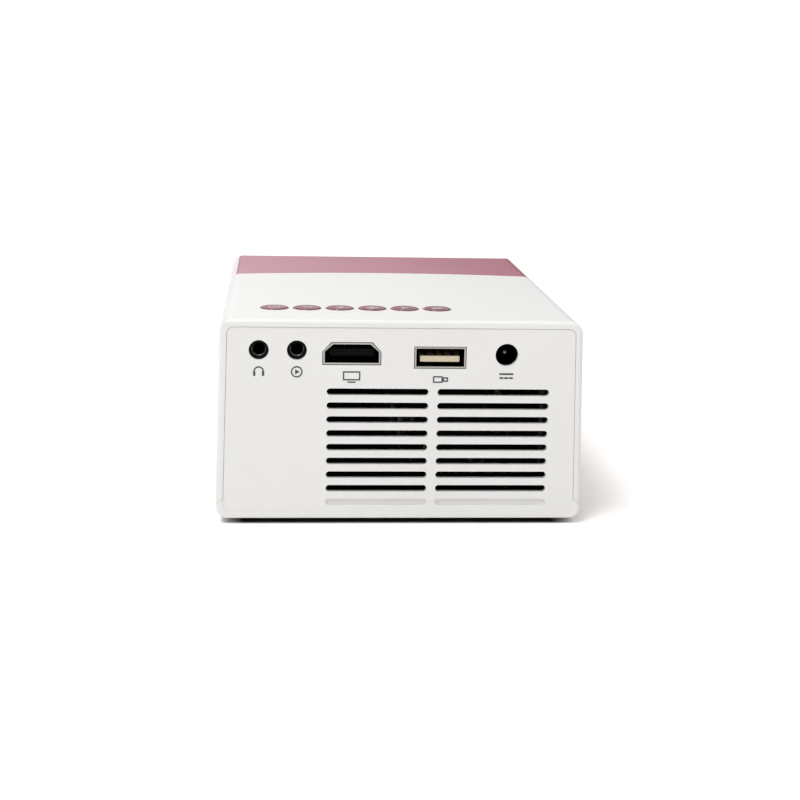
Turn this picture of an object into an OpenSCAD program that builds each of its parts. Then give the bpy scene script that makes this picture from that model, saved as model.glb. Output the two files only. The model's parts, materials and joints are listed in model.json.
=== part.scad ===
// Pocket LED projector: a two-part white case with a rose gloss front panel, a row of six
// keys on top, sockets and air slots in the rear wall, and a straight light path inside.
// +Z is up, +Y is the direction of projection and +X is to the right seen from behind.
// The origin is on the resting surface, under the middle of the whole box.

/* [Case] */
// Width of the case at its base
body_w = 96; // [94:0.5:104]
// Length of the case, without the focus ring
body_l = 128; // [126:1:140]
// Height of the case, without its feet
body_h = 52.5; // [51.5:0.5:54]
// Draft of the side walls, each side, in degrees
side_draft = 1.5; // [0.5:0.25:2]
// Radius along the four long edges
long_edge_r = 3.6; // [2.5:0.1:3.8]
// Radius around the front edges
front_edge_r = 3; // [1:0.25:3.5]
// Radius around the rear edges
rear_edge_r = 1.1; // [0.3:0.1:1.2]
// Radius along the lower rear edge
rear_low_edge_r = 0.6; // [0.3:0.1:1.2]
// Wall thickness of the top cover
cover_wall = 1.9; // [1.6:0.1:2]
// Width of the seam between the case parts
seam = 0.1; // [0.1:0.05:0.3]
// Thickness of the floor and of the rear and front walls
panel_t = 2.2; // [1.8:0.1:2.4]
// Height of the rubber feet below the case
foot_h = 1.5; // [1:0.25:2.5]

/* [Rose panel] */
// Half width of the rose panel on top
rose_half_w = 44.5; // [43:0.1:45.2]
// Distance from the rear face to the rose panel at its two ends
rose_start = 82.3; // [80:0.5:90]
// How far the middle of that edge lies further forward
rose_sagitta = 4.6; // [2:0.2:6]
// Thickness of the rose panel on top
rose_t = 1; // [0.8:0.1:1]

/* [Keys] */
// Diameter of a key cap
key_d = 7.3; // [6:0.1:7.5]
// Distance between neighbouring keys
key_pitch = 8.65; // [8.6:0.05:9]
// Position of the first key from the middle plane
key_first_x = -32.8; // [-34:0.1:-32]
// Distance of the keys from the rear face
key_y = 18.8; // [18:0.1:19.5]
// Height of a key above the cover
key_rise = 0.3; // [0.2:0.05:0.6]
// Travel of a key
key_travel = 0.35; // [0.2:0.05:0.35]

/* [Rear wall] */
// Width of the left column of air slots
vent_left_w = 26.3; // [20:0.1:26.5]
// Width of the right column of air slots
vent_right_w = 29.1; // [20:0.1:29.2]
// Start of the left column from the middle plane
vent_left_x = -19.3; // [-20:0.1:-18]
// Start of the right column from the middle plane
vent_right_x = 9.3; // [9:0.1:9.5]
// Height of one air slot
vent_h = 1.8; // [1:0.1:2]
// Distance between the rows of air slots
vent_pitch = 3.67; // [3.5:0.01:3.7]
// Number of open rows
vent_rows = 8; // [6:1:8]
// Height of the top row above the underside of the case
vent_top_h = 33.8; // [33.5:0.1:34.2]

/* [Light path] */
// Position of the light path from the middle plane
lens_x = 17; // [16.8:0.1:17.2]
// Height of the light path above the underside of the case
lens_h = 22.7; // [22.6:0.1:22.9]
// Outer diameter of the focus ring
ring_d = 40; // [39:0.25:40]
// How far the focus ring stands out of the front
ring_out = 5.5; // [5:0.25:7]
// Travel of the lens barrel
barrel_travel = 5; // [3:0.5:5]

/* [Hidden] */
$fn = 64;
// Small overlap that keeps cuts clean
eps = 0.05;
// Larger than any part of the case
far = 200;

// Case levels and lines
base_z = foot_h;
top_z = foot_h + body_h;
half_base = body_w / 2;
floor_z = base_z + 2;
ceiling_z = top_z - cover_wall;
rear_y = -(body_l + ring_out) / 2;
panel_inset = cover_wall + seam;
seam_depth = 0.3;
lap_gap = 0.03;
front_plate_y = body_l - panel_t;
hollow_half_w = half_base - 3.6;
lap_top_z = base_z + 11.5;
vent_top_z = base_z + vent_top_h;
blind_slot_depth = 0.6;
rear_recess = 0.12;
mitre_in_z = base_z + 5.2;
mitre_in_x = half_base - 2;
mitre_slope = 0.74;

// Case fasteners, feet and the tripod thread
boss_x = half_base - 7.2;
boss_rear_y = 24;
boss_front_y = body_l - 24;
boss_r = 3;
boss_split_z = base_z + 12.5;
screw_r = 1.1;
screw_hole_r = 1.15;
screw_head_r = 2.4;
screw_head_h = 1.5;
case_screw_l = 20;
foot_r = 5;
foot_x = half_base - 10;
foot_rear_y = 14;
foot_front_y = body_l - 14;
foot_recess = 0.5;
tripod_x = -14;
tripod_y = body_l / 2;
tripod_outer_r = 4.5;
tripod_bore_r = 2.55;
tripod_depth = 7;

// Main board and its sockets
board_z = top_z - 5.3;
board_t = 1;
board_top_z = board_z + board_t;
board_half_w = 42;
board_y0 = 2.8;
board_y1 = 75;
board_arm_x = -34;
board_arm_w = 20;
board_arm_y = 118;
board_hole_x = 35.5;
board_hole_ys = [31, 69];
audio_pos = [-36.7, board_z - 2.6];
av_pos = [-27, board_z - 2.6];
video_pos = [-12.95, board_z - 3.4];
data_pos = [9.8, board_z - 4.3];
power_pos = [27, board_z - 3.5];
jack_bore_r = 1.8;
jack_nose_r = 2.4;
jack_hole_r = 2.55;
jack_depth = 13;
jack_nose_y = 0.9;
jack_body_y = panel_t + 0.2;
jack_body_l = 12;
jack_body_r = 2.6;
jack_half_w = 3;
power_bore_r = 2.85;
power_hole_r = 2.95;
power_pin_r = 1;
power_depth = 9;
power_half_w = 4.5;
power_body_r = 4.2;
power_pin_y = panel_t + 2;
power_pin_tip = 0.4;
video_size = [14.7, 5.6];
video_top_w = 10.2;
video_shoulder = 0.5;
video_wall = 0.4;
video_depth = 12;
video_tongue_y = 2.2;
video_tongue = [11.2, video_depth - video_wall - video_tongue_y, 1.8];
data_size = [13.1, 5.4];
data_depth = 14;
data_wall = 0.35;
data_tongue_y = 1.8;
data_tongue = [10.2, data_depth - data_wall - data_tongue_y, 1.5];
data_tongue_drop = 1.35;
shell_y = 0.25;
socket_gap = 0.2;

// Keys and their switches
key_r = key_d / 2;
key_gap = 0.2;
key_flange_r = key_r + 0.55;
key_flange_top_z = ceiling_z - 0.15;
key_flange_h = 0.6;
plunger_r = 0.8;
plunger_gap = 0.15;
plunger_h = 1;
switch_w = 4.6;
switch_h = 1.25;
plunger_low_z = key_flange_top_z - key_flange_h - plunger_h;

// Light path, distances from the rear face
lens_z = base_z + lens_h;
fan_y = 18;
fan_w = 40;
fan_t = 10;
sink_y = 29;
sink_base_y = 41;
sink_w = 38;
led_board_y = 43;
led_y = 44.6;
condenser_y = 52;
condenser_r = 12.5;
optics_y0 = 48;
optics_y1 = 98;
optics_half_w = 22;
optics_z0 = floor_z + 0.3;
optics_z1 = board_z - 4.3;
optics_wall = 2.4;
groove_depth = 0.8;
plate_half_w = optics_half_w - optics_wall + groove_depth - 0.1;
plate_z0 = optics_z0 + optics_wall + 0.2;
plate_h = 35;
rear_fresnel_y = 68;
heat_glass_y = 74;
lcd_y = 80;
front_fresnel_y = 88;
tube_r = 18.5;
tube_bore_r = 16.55;
tube_y1 = body_l - 4;
barrel_r = 16.5;
barrel_y0 = optics_y1 + 2.5;
ring_lip = 1.5;
barrel_stop_gap = 3;
barrel_y1 = body_l + ring_out - ring_lip - barrel_stop_gap - barrel_travel;
front_seat_y = barrel_y1 - 7.5;
middle_seat_y = barrel_y1 - 12;
rear_seat_l = 6;
seat_gap = 0.1;
waist_r = 12.2;
rear_lens_r = 13.7;
middle_lens_r = 12.9;
front_lens_r = 14.5;
light_r = 15.5;
fit_gap = 0.05;
ring_r = ring_d / 2;
ring_bore_r = tube_r + fit_gap;
ring_y0 = body_l - 14;
ring_lip_r = 14;
ring_hole_r = ring_r + 0.5;
ring_grooves = 36;
fan_shaft_r = 1;

// Leads inside the case
lead_r = 0.8;
lead_end_z = board_z - 1;

// Speaker on the left side
speaker_y = 64;
speaker_z = base_z + 22.5;
speaker_r = 14;
speaker_x = -43.7;

// Colours
shell_white = [0.94, 0.94, 0.93];
rose = [0.72, 0.56, 0.60];
mauve = [0.62, 0.52, 0.54];
board_green = [0.10, 0.32, 0.20];
black_plastic = [0.06, 0.06, 0.07];
metal = [0.72, 0.73, 0.75];
brass = [0.80, 0.66, 0.35];
clear = [0.80, 0.88, 0.92];

// Place something drawn from the rear face in the part's own frame
module from_rear() {
    translate([0, rear_y, 0]) children();
}

// A cylinder along +Y from a point
module rod_y(x, y, z, r, l) {
    translate([x, y, z]) rotate([-90, 0, 0]) cylinder(r = r, h = l);
}

// A cylinder along +Z from a point
module rod_z(x, y, z, r, l) {
    translate([x, y, z]) cylinder(r = r, h = l);
}

// A box given by its lowest corner and its size
module block(corner, size) {
    translate(corner) cube(size);
}

// An outline in X and Z, extruded along +Y from y0 to y1
module along_y(y0, y1) {
    translate([0, y1, 0]) rotate([90, 0, 0]) linear_extrude(y1 - y0) children();
}

// Half width of the case at a height, inset by a wall
function side_x(z, inset) =
    half_base - (z - base_z) * tan(side_draft) - inset / cos(side_draft);

// Cross-section of the case, inset evenly by a wall
module case_profile(inset) {
    r = long_edge_r - inset > 0.3 ? long_edge_r - inset : 0.3;
    low = base_z + inset + r;
    high = top_z - inset - r;
    low_x = side_x(low, inset + r);
    high_x = side_x(high, inset + r);
    nx = r * cos(side_draft);
    nz = r * sin(side_draft);
    polygon([
        [-low_x, low - r], [low_x, low - r], [low_x + nx, low + nz],
        [high_x + nx, high + nz], [high_x, high + r], [-high_x, high + r],
        [-high_x - nx, high + nz], [-low_x - nx, low + nz]
    ]);
    for (s = [-1, 1]) {
        translate([s * low_x, low]) circle(r = r);
        translate([s * high_x, high]) circle(r = r);
    }
}

// Plan of a half space that ends at x = 0, with its front and rear corners rounded
module rounded_side_plan() {
    rf = front_edge_r;
    rr = rear_edge_r;
    polygon([
        [-far, 0], [-rr, 0], [0, rr], [0, body_l - rf], [-rf, body_l], [-far, body_l]
    ]);
    translate([-rf, body_l - rf]) circle(r = rf);
    translate([-rr, rr]) circle(r = rr);
}

// Half space inside one drafted side wall
module inside_side() {
    translate([half_base, 0, base_z])
        rotate([0, -side_draft, 0])
        translate([0, 0, -far / 4])
        linear_extrude(far)
        rounded_side_plan();
}

// Side view of the case with its front and rear edges rounded
module side_view() {
    rf = front_edge_r;
    rr = rear_edge_r;
    rl = rear_low_edge_r;
    polygon([
        [rl, base_z], [body_l - rf, base_z], [body_l, base_z + rf], [body_l, top_z - rf],
        [body_l - rf, top_z], [rr, top_z], [0, top_z - rr], [0, base_z + rl]
    ]);
    translate([body_l - rf, base_z + rf]) circle(r = rf);
    translate([body_l - rf, top_z - rf]) circle(r = rf);
    translate([rr, top_z - rr]) circle(r = rr);
    translate([rl, base_z + rl]) circle(r = rl);
}

// The outer shape of the whole case
module envelope() {
    intersection() {
        along_y(0, body_l) case_profile(0);
        inside_side();
        mirror([1, 0, 0]) inside_side();
        translate([-far / 2, 0, 0])
            rotate([90, 0, 90])
            linear_extrude(far)
            side_view();
    }
}

// Everything below the mitred seam between cover and bottom shell
module below_seam(drop) {
    out_z = mitre_in_z - (far / 2 - mitre_in_x) * mitre_slope - drop;
    along_y(-eps, body_l + eps)
        polygon([
            [-far / 2, -far], [far / 2, -far], [far / 2, out_z], [mitre_in_x, mitre_in_z - drop],
            [-mitre_in_x, mitre_in_z - drop], [-far / 2, out_z]
        ]);
}

// The circle whose outside is the rose panel's plan
module rose_edge(gap) {
    edge_r = (pow(rose_half_w, 2) + pow(rose_sagitta, 2)) / (2 * rose_sagitta);
    rod_z(0, rose_start + rose_sagitta - edge_r, 0, edge_r - gap, far);
}

// One air slot with round ends through the rear wall
module vent_slot(x, z, w, y0, depth) {
    r = vent_h / 2;
    block([x + r, y0, z - r], [w - vent_h, depth, vent_h]);
    rod_y(x + r, y0, z, r, depth);
    rod_y(x + w - r, y0, z, r, depth);
}

// One row of both slot columns
module vent_row(i, y0, depth) {
    z = vent_top_z - i * vent_pitch;
    vent_slot(vent_left_x, z, vent_left_w, y0, depth);
    vent_slot(vent_right_x, z, vent_right_w, y0, depth);
}

// Positions of the six keys
module at_key(i) {
    translate([key_first_x + (i - 1) * key_pitch, key_y, 0]) children();
}

// The four case fasteners
module at_bosses() {
    for (x = [-boss_x, boss_x])
        for (y = [boss_rear_y, boss_front_y])
            translate([x, y, 0]) children();
}

// The four board fasteners
module at_board_holes() {
    for (x = [-board_hole_x, board_hole_x])
        for (y = board_hole_ys)
            translate([x, y, 0]) children();
}

// The four feet
module at_feet() {
    for (x = [-foot_x, foot_x])
        for (y = [foot_rear_y, foot_front_y])
            translate([x, y, 0]) children();
}

// Outline of the video socket, grown by a gap
module video_outline(grow) {
    half_w = video_size[0] / 2 + grow;
    half_h = video_size[1] / 2 + grow;
    top_half_w = video_top_w / 2 + grow * 0.8;
    polygon([
        [-half_w, -half_h], [half_w, -half_h], [half_w, video_shoulder],
        [top_half_w, half_h], [-top_half_w, half_h], [-half_w, video_shoulder]
    ]);
}

// Outline of the data socket, grown by a gap
module data_outline(grow) {
    square([data_size[0] + 2 * grow, data_size[1] + 2 * grow], center = true);
}

// Put an outline at a socket's place and extrude it along +Y
module socket_at(pos, y0, y1) {
    translate([pos[0], 0, pos[1]]) along_y(y0, y1) children();
}

// Sound holes in the left wall: one in the middle and rings of six, twelve and eighteen
module sound_holes() {
    hole_r = 0.9;
    ring_step = 3.2;
    translate([-far / 2, speaker_y, speaker_z]) rotate([0, 90, 0]) cylinder(r = hole_r, h = far / 2);
    for (k = [1:3])
        for (i = [0:6 * k - 1])
            translate([-far / 2, speaker_y, speaker_z])
                rotate([i * 60 / k, 0, 0])
                translate([0, 0, k * ring_step])
                rotate([0, 90, 0])
                cylinder(r = hole_r, h = far / 2);
}

// Upright intake slots in the right wall
module intake_slots() {
    slot_r = 0.8;
    slot_l = 14;
    slot_pitch = 4;
    slots = 11;
    for (i = [0:slots - 1])
        for (z = [base_z + 10.5, base_z + 28.5])
            translate([0, 30 + i * slot_pitch, z]) {
                block([0, -slot_r, slot_r], [far / 2, 2 * slot_r, slot_l - 2 * slot_r]);
                translate([0, 0, slot_r]) rotate([0, 90, 0]) cylinder(r = slot_r, h = far / 2);
                translate([0, 0, slot_l - slot_r])
                    rotate([0, 90, 0]) cylinder(r = slot_r, h = far / 2);
            }
}

// White cover: top and both sides in one piece
module top_cover() {
    color(shell_white) from_rear() {
        difference() {
            envelope();
            along_y(-eps, body_l + eps) case_profile(cover_wall);
            below_seam(0);
            difference() {
                block([-rose_half_w - seam, 0, top_z - rose_t - eps],
                    [2 * (rose_half_w + seam), body_l + eps, rose_t + 1]);
                rose_edge(seam);
            }
            block([-rose_half_w - seam, front_plate_y - seam, ceiling_z - 3],
                [2 * (rose_half_w + seam), far, far]);
            for (i = [1:6])
                at_key(i) rod_z(0, 0, ceiling_z - 1, key_r + key_gap, far);
            sound_holes();
            intake_slots();
        }
        difference() {
            union() {
                at_bosses() rod_z(0, 0, boss_split_z, boss_r, ceiling_z - boss_split_z + 0.4);
                at_board_holes() rod_z(0, 0, board_top_z, 2.2, ceiling_z - board_top_z + 0.4);
            }
            at_bosses() rod_z(0, 0, boss_split_z - eps, screw_hole_r, 16);
            at_board_holes() rod_z(0, 0, board_top_z - eps, 0.8, 2);
        }
    }
}

// Round seats and holes through the rear wall
module rear_wall_holes() {
    rod_y(audio_pos[0], -1, audio_pos[1], jack_hole_r, panel_t + 2);
    rod_y(av_pos[0], -1, av_pos[1], jack_hole_r, panel_t + 2);
    rod_y(power_pos[0], -1, power_pos[1], power_hole_r, panel_t + 2);
    socket_at(video_pos, -1, panel_t + 1) video_outline(socket_gap);
    socket_at(data_pos, -1, panel_t + 1) data_outline(socket_gap);
    for (i = [0:vent_rows - 1])
        vent_row(i, -1, panel_t + 2);
    vent_row(vent_rows, -1, 1 + blind_slot_depth);
}

// Upright plate that carries the speaker
module speaker_plate() {
    difference() {
        block([speaker_x + 1.4, speaker_y - 17, floor_z - eps], [1.5, 34, speaker_z + 12]);
        translate([speaker_x, speaker_y, speaker_z])
            rotate([0, 90, 0])
            cylinder(r = speaker_r - 1.5, h = 5);
    }
}

// Ribs on the floor that hold the fan and the heat sink
module floor_ribs() {
    for (x = [lens_x - 14, lens_x + 12])
        for (y = [fan_y - 1.7, fan_y + fan_t + 0.1])
            block([x, y, floor_z - eps], [2, 0.8, 5]);
}

// Bottom shell: floor, mitred lower corners and the rear wall in one piece
module bottom_shell() {
    color(shell_white) from_rear() difference() {
        union() {
            difference() {
                union() {
                    intersection() {
                        envelope();
                        below_seam(seam);
                    }
                    intersection() {
                        envelope();
                        along_y(-eps, front_plate_y - seam) case_profile(panel_inset);
                        block([-far / 2, -1, 0], [far, far, lap_top_z]);
                    }
                    intersection() {
                        envelope();
                        union() {
                            along_y(-eps, panel_t) case_profile(panel_inset);
                            along_y(seam_depth, panel_t) case_profile(cover_wall + lap_gap);
                        }
                    }
                }
                block([-hollow_half_w, panel_t, floor_z],
                    [2 * hollow_half_w, far, far]);
                along_y(front_plate_y - seam, far) case_profile(panel_inset - fit_gap);
            }
            at_bosses() rod_z(0, 0, floor_z - eps, boss_r, boss_split_z - 0.1 - floor_z + eps);
            rod_z(tripod_x, tripod_y, floor_z - eps, 6.2, 6.5);
            speaker_plate();
            floor_ribs();
        }
        rear_wall_holes();
        along_y(-1, rear_recess) case_profile(panel_inset - fit_gap);
        at_bosses() {
            rod_z(0, 0, 0, screw_hole_r + 0.15, far / 4);
            rod_z(0, 0, 0, screw_head_r + 0.2, base_z + 2.4);
        }
        at_feet() rod_z(0, 0, 0, foot_r + 0.1, base_z + foot_recess);
        rod_z(tripod_x, tripod_y, 0, tripod_outer_r, base_z + tripod_depth);
    }
}

// Rose gloss panel: the front wall and the front third of the top in one piece
module front_panel() {
    color(rose) from_rear() difference() {
        union() {
            intersection() {
                envelope();
                along_y(front_plate_y, body_l + 1) case_profile(panel_inset);
            }
            intersection() {
                envelope();
                difference() {
                    block([-rose_half_w, rose_start - 1, base_z + 10],
                        [2 * rose_half_w, far, far]);
                    block([-rose_half_w - 1, 0, 0],
                        [far, front_plate_y, top_z - rose_t]);
                    rose_edge(0);
                }
            }
        }
        rod_y(lens_x, 0, lens_z, ring_hole_r, far);
    }
}

// One key cap with its flange under the cover
module button(i) {
    cap_z = key_flange_top_z - key_flange_h;
    crown = 0.25;
    color(mauve) from_rear() at_key(i) {
        rod_z(0, 0, cap_z, key_flange_r, key_flange_h);
        rod_z(0, 0, cap_z, key_r, top_z + key_rise - crown - cap_z);
        translate([0, 0, top_z + key_rise - crown])
            cylinder(r1 = key_r, r2 = key_r - crown, h = crown);
    }
}

// The pin of one switch, which the key presses
module switch_plunger(i) {
    color(black_plastic) from_rear() at_key(i)
        rod_z(0, 0, plunger_low_z, plunger_r, plunger_h);
}

// Six low push switches on the main board
module key_switches() {
    color(metal) from_rear()
        for (i = [1:6])
            at_key(i) difference() {
                block([-switch_w / 2, -switch_w / 2, board_top_z], [switch_w, switch_w, switch_h]);
                rod_z(0, 0, plunger_low_z - key_travel - 0.1, plunger_r + plunger_gap, switch_h);
            }
}

// Main board under the cover, with an arm that carries the remote receiver
module main_board() {
    color(board_green) from_rear() difference() {
        union() {
            block([-board_half_w, board_y0, board_z],
                [2 * board_half_w, board_y1 - board_y0, board_t]);
            block([board_arm_x, board_y1 - 1, board_z],
                [board_arm_w, board_arm_y - board_y1 + 1, board_t]);
        }
        at_bosses() rod_z(0, 0, board_z - 1, boss_r + 1, 4);
        at_board_holes() rod_z(0, 0, board_z - 1, screw_r, 4);
    }
}

// Processor, memory and light driver on the underside of the board
module board_chips() {
    chip_t = 1.5;
    processor = [-4, 42, 15, 15];
    memory = [-28, 40, 9, 12];
    light_driver = [20, 62, 9, 7];
    amplifier = [-20, 92, 7, 6];
    color(black_plastic) from_rear()
        for (c = [processor, memory, light_driver, amplifier])
            block([c[0], c[1], board_z - chip_t], [c[2], c[3], chip_t]);
}

// Three upright capacitors on the underside of the board
module board_capacitors() {
    can_r = 3.1;
    can_h = 7.5;
    color([0.55, 0.58, 0.62]) from_rear()
        for (i = [0:2])
            rod_z(-17, 20 + i * 7.5, board_z - can_h, can_r, can_h);
}

// A round jack for a 3.5 mm plug, hanging under the board
module round_jack(pos) {
    low_z = pos[1] - jack_body_r;
    color(black_plastic) from_rear() difference() {
        union() {
            block([pos[0] - jack_half_w, jack_body_y, low_z],
                [2 * jack_half_w, jack_body_l, board_z - low_z]);
            rod_y(pos[0], jack_nose_y, pos[1], jack_nose_r, jack_body_y - jack_nose_y + eps);
        }
        rod_y(pos[0], 0, pos[1], jack_bore_r, jack_depth);
    }
}

// Audio output jack
module audio_jack() {
    round_jack(audio_pos);
}

// Audio and video input jack
module av_jack() {
    round_jack(av_pos);
}

// Metal shell of the video socket, narrow side up
module video_socket_shell() {
    color(metal) from_rear() difference() {
        socket_at(video_pos, shell_y, video_depth) video_outline(0);
        socket_at(video_pos, 0, video_depth - video_wall) video_outline(-video_wall);
    }
}

// Contact tongue of the video socket
module video_socket_tongue() {
    color(black_plastic) from_rear()
        block([video_pos[0] - video_tongue[0] / 2, video_tongue_y,
            video_pos[1] - video_tongue[2] / 2], video_tongue);
}

// Metal shell of the data socket
module data_socket_shell() {
    color(metal) from_rear() difference() {
        socket_at(data_pos, shell_y, data_depth) data_outline(0);
        socket_at(data_pos, 0, data_depth - data_wall) data_outline(-data_wall);
    }
}

// Contact tongue of the data socket, low in its shell
module data_socket_tongue() {
    color([0.86, 0.80, 0.66]) from_rear()
        block([data_pos[0] - data_tongue[0] / 2, data_tongue_y, data_pos[1] - data_tongue_drop],
            data_tongue);
}

// Body of the power jack
module power_jack() {
    low_z = power_pos[1] - power_body_r;
    color(black_plastic) from_rear() difference() {
        union() {
            block([power_pos[0] - power_half_w, jack_body_y, low_z],
                [2 * power_half_w, jack_body_l, board_z - low_z]);
            rod_y(power_pos[0], panel_t - 0.6, power_pos[1], power_hole_r - 0.05, 1);
        }
        rod_y(power_pos[0], 0, power_pos[1], power_bore_r, power_depth + panel_t);
    }
}

// Centre contact of the power jack
module power_jack_pin() {
    shank_y = power_pin_y + power_pin_tip;
    color(metal) from_rear() {
        translate([power_pos[0], power_pin_y, power_pos[1]])
            rotate([-90, 0, 0])
            cylinder(r1 = power_pin_r - power_pin_tip, r2 = power_pin_r, h = power_pin_tip);
        rod_y(power_pos[0], shank_y, power_pos[1], power_pin_r, power_depth + panel_t - shank_y);
    }
}

// Infrared receiver at the end of the board's arm, behind the rose panel
module remote_receiver() {
    x = board_arm_x + board_arm_w / 2;
    size = [6, 3.2, 6];
    dome_r = 1.8;
    color(black_plastic) from_rear() {
        block([x - size[0] / 2, board_arm_y - 3, board_z - size[2]], size);
        rod_y(x, board_arm_y, board_z - size[2] / 2, dome_r, dome_r - eps);
    }
}

// Speaker basket and magnet, facing the left wall
module speaker_frame() {
    rim_t = 1.3;
    basket_h = 4;
    magnet_r = 7.5;
    magnet_h = 4;
    color([0.25, 0.25, 0.27]) from_rear()
        translate([speaker_x, speaker_y, speaker_z])
        rotate([0, 90, 0]) {
            difference() {
                union() {
                    cylinder(r = speaker_r, h = rim_t);
                    cylinder(r = speaker_r - 1.7, h = basket_h);
                }
                translate([0, 0, -eps]) cylinder(r1 = speaker_r - 2.4, r2 = 6.2, h = 3.2);
            }
            translate([0, 0, basket_h]) cylinder(r = magnet_r, h = magnet_h);
        }
}

// Speaker cone
module speaker_cone() {
    color([0.12, 0.12, 0.13]) from_rear()
        translate([speaker_x, speaker_y, speaker_z])
        rotate([0, 90, 0])
        rotate_extrude()
        polygon([
            [0, 1], [4, 1.4], [9.6, -0.3], [12.5, -0.3], [12.5, 0], [9.8, 0], [4.4, 1.9], [0, 1.9]
        ]);
}

// Square frame of the cooling fan, with its hub on three spokes
module fan_frame() {
    hub_r = 11;
    hub_y = fan_y + 8.8;
    spoke_t = fan_t - 8.8;
    post_r = 3;
    color([0.16, 0.16, 0.17]) from_rear() {
        difference() {
            block([lens_x - fan_w / 2, fan_y, lens_z - fan_w / 2], [fan_w, fan_t, fan_w]);
            rod_y(lens_x, fan_y - 1, lens_z, fan_w / 2 - 1.2, fan_t + 2);
            for (x = [-16, 16])
                for (z = [-16, 16])
                    rod_y(lens_x + x, fan_y - 1, lens_z + z, 1.7, fan_t + 2);
        }
        difference() {
            union() {
                rod_y(lens_x, hub_y, lens_z, hub_r, spoke_t);
                for (i = [0:2])
                    translate([lens_x, hub_y, lens_z])
                        rotate([0, i * 120, 0])
                        block([0, 0, -1], [fan_w / 2 - 1, spoke_t, 2]);
                rod_y(lens_x, fan_y + 3, lens_z, post_r, 6);
            }
            rod_y(lens_x, fan_y, lens_z, fan_shaft_r + fit_gap, 8.6);
        }
    }
}

// Fan rotor: hub cup, shaft and seven blades
module fan_rotor() {
    blades = 7;
    blade_l = 8.6;
    blade_t = 0.9;
    blade_w = 8.8;
    blade_pitch = 38;
    cup_r = 9.5;
    cup_h = 7.9;
    cup_wall = 1.3;
    cup_y = 0.4;
    color(black_plastic) from_rear() translate([lens_x, fan_y, lens_z]) {
        difference() {
            rod_y(0, cup_y, 0, cup_r, cup_h);
            rod_y(0, cup_y + 1.2, 0, cup_r - cup_wall, cup_h);
        }
        rod_y(0, cup_y + 0.8, 0, fan_shaft_r, 6.8);
        for (i = [0:blades - 1])
            rotate([0, i * 360 / blades, 0])
                translate([cup_r - 0.3, cup_y + 4, 0])
                rotate([blade_pitch, 0, 0])
                block([0, -blade_t / 2, -blade_w / 2], [blade_l, blade_t, blade_w]);
    }
}

// Finned heat sink behind the light source
module heat_sink() {
    fins = 12;
    fin_t = 1;
    step = (sink_w - fin_t) / (fins - 1);
    color([0.68, 0.69, 0.71]) from_rear() {
        block([lens_x - sink_w / 2, sink_base_y, lens_z - 18], [sink_w, 2, 36]);
        for (i = [0:fins - 1])
            block([lens_x - sink_w / 2 + i * step, sink_y, lens_z - 18],
                [fin_t, sink_base_y - sink_y + eps, 36]);
    }
}

// Metal-core board of the light source
module led_board() {
    color([0.90, 0.90, 0.88]) from_rear()
        block([lens_x - 15, led_board_y, lens_z - 15], [30, 1.6, 30]);
}

// Light source
module led_emitter() {
    color([0.95, 0.85, 0.35]) from_rear()
        block([lens_x - 6, led_y, lens_z - 6], [12, 1.4, 12]);
}

// Plano-convex condenser lens with a flat rim
module condenser_lens() {
    ball_r = 17;
    thickness = 8;
    color(clear) from_rear() intersection() {
        translate([lens_x, condenser_y + thickness - ball_r, lens_z]) sphere(r = ball_r, $fn = 96);
        rod_y(lens_x, condenser_y, lens_z, condenser_r, thickness + 4);
    }
}

// Plate that holds the condenser lens
module condenser_holder() {
    holder_y = condenser_y - 1.8;
    holder_half_w = 19;
    color([0.92, 0.92, 0.90]) from_rear() difference() {
        block([lens_x - holder_half_w, holder_y, plate_z0], [2 * holder_half_w, 4.2, plate_h]);
        rod_y(lens_x, holder_y - 1, lens_z, condenser_r - 1.5, far);
        rod_y(lens_x, condenser_y - 0.2, lens_z, condenser_r + seat_gap, far);
    }
}

// Groove for one plate across the light box
module plate_groove(y, t) {
    block([lens_x - plate_half_w - 0.1, y - 0.1, plate_z0 - 0.3],
        [2 * plate_half_w + 0.2, t + 0.2, far]);
}

// Light box, open at the top
module optics_case() {
    color([0.11, 0.11, 0.12]) from_rear() difference() {
        block([lens_x - optics_half_w, optics_y0, optics_z0],
            [2 * optics_half_w, optics_y1 - optics_y0, optics_z1 - optics_z0]);
        block([lens_x - optics_half_w + optics_wall, optics_y0 + 2, optics_z0 + optics_wall],
            [2 * (optics_half_w - optics_wall), optics_y1 - optics_y0 - 4, far]);
        plate_groove(rear_fresnel_y, 1.5);
        plate_groove(heat_glass_y, 1.1);
        plate_groove(lcd_y, 2.4);
        plate_groove(front_fresnel_y, 1.5);
        rod_y(lens_x, optics_y0 - 1, lens_z, 13, 5);
        rod_y(lens_x, optics_y1 - 4, lens_z, light_r, 6);
        at_lid_screws() rod_z(0, 0, optics_z1 - 8, 0.85, far);
    }
}

// The two fasteners of the lid, at the light box's end walls
module at_lid_screws() {
    for (y = [optics_y0 + 1, optics_y1 - 1])
        translate([lens_x - 18, y, 0]) children();
}

// Lid of the light box, with a slit for the panel's flat lead
module optics_lid() {
    color([0.14, 0.14, 0.15]) from_rear() difference() {
        block([lens_x - optics_half_w, optics_y0, optics_z1 + 0.05],
            [2 * optics_half_w, optics_y1 - optics_y0, 1.4]);
        block([lens_x - 11, lcd_y + 0.4, optics_z1 - 1], [22, 1.6, 5]);
        at_lid_screws() rod_z(0, 0, optics_z1 - 1, 1.1, 5);
    }
}

// One flat plate across the light path
module light_plate(y, t) {
    from_rear() block([lens_x - plate_half_w, y, plate_z0], [2 * plate_half_w, t, plate_h]);
}

// Grooved lens before the picture panel
module rear_fresnel_lens() {
    color(clear) light_plate(rear_fresnel_y, 1.5);
}

// Heat-absorbing glass
module heat_glass() {
    color([0.72, 0.86, 0.84]) light_plate(heat_glass_y, 1.1);
}

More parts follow.
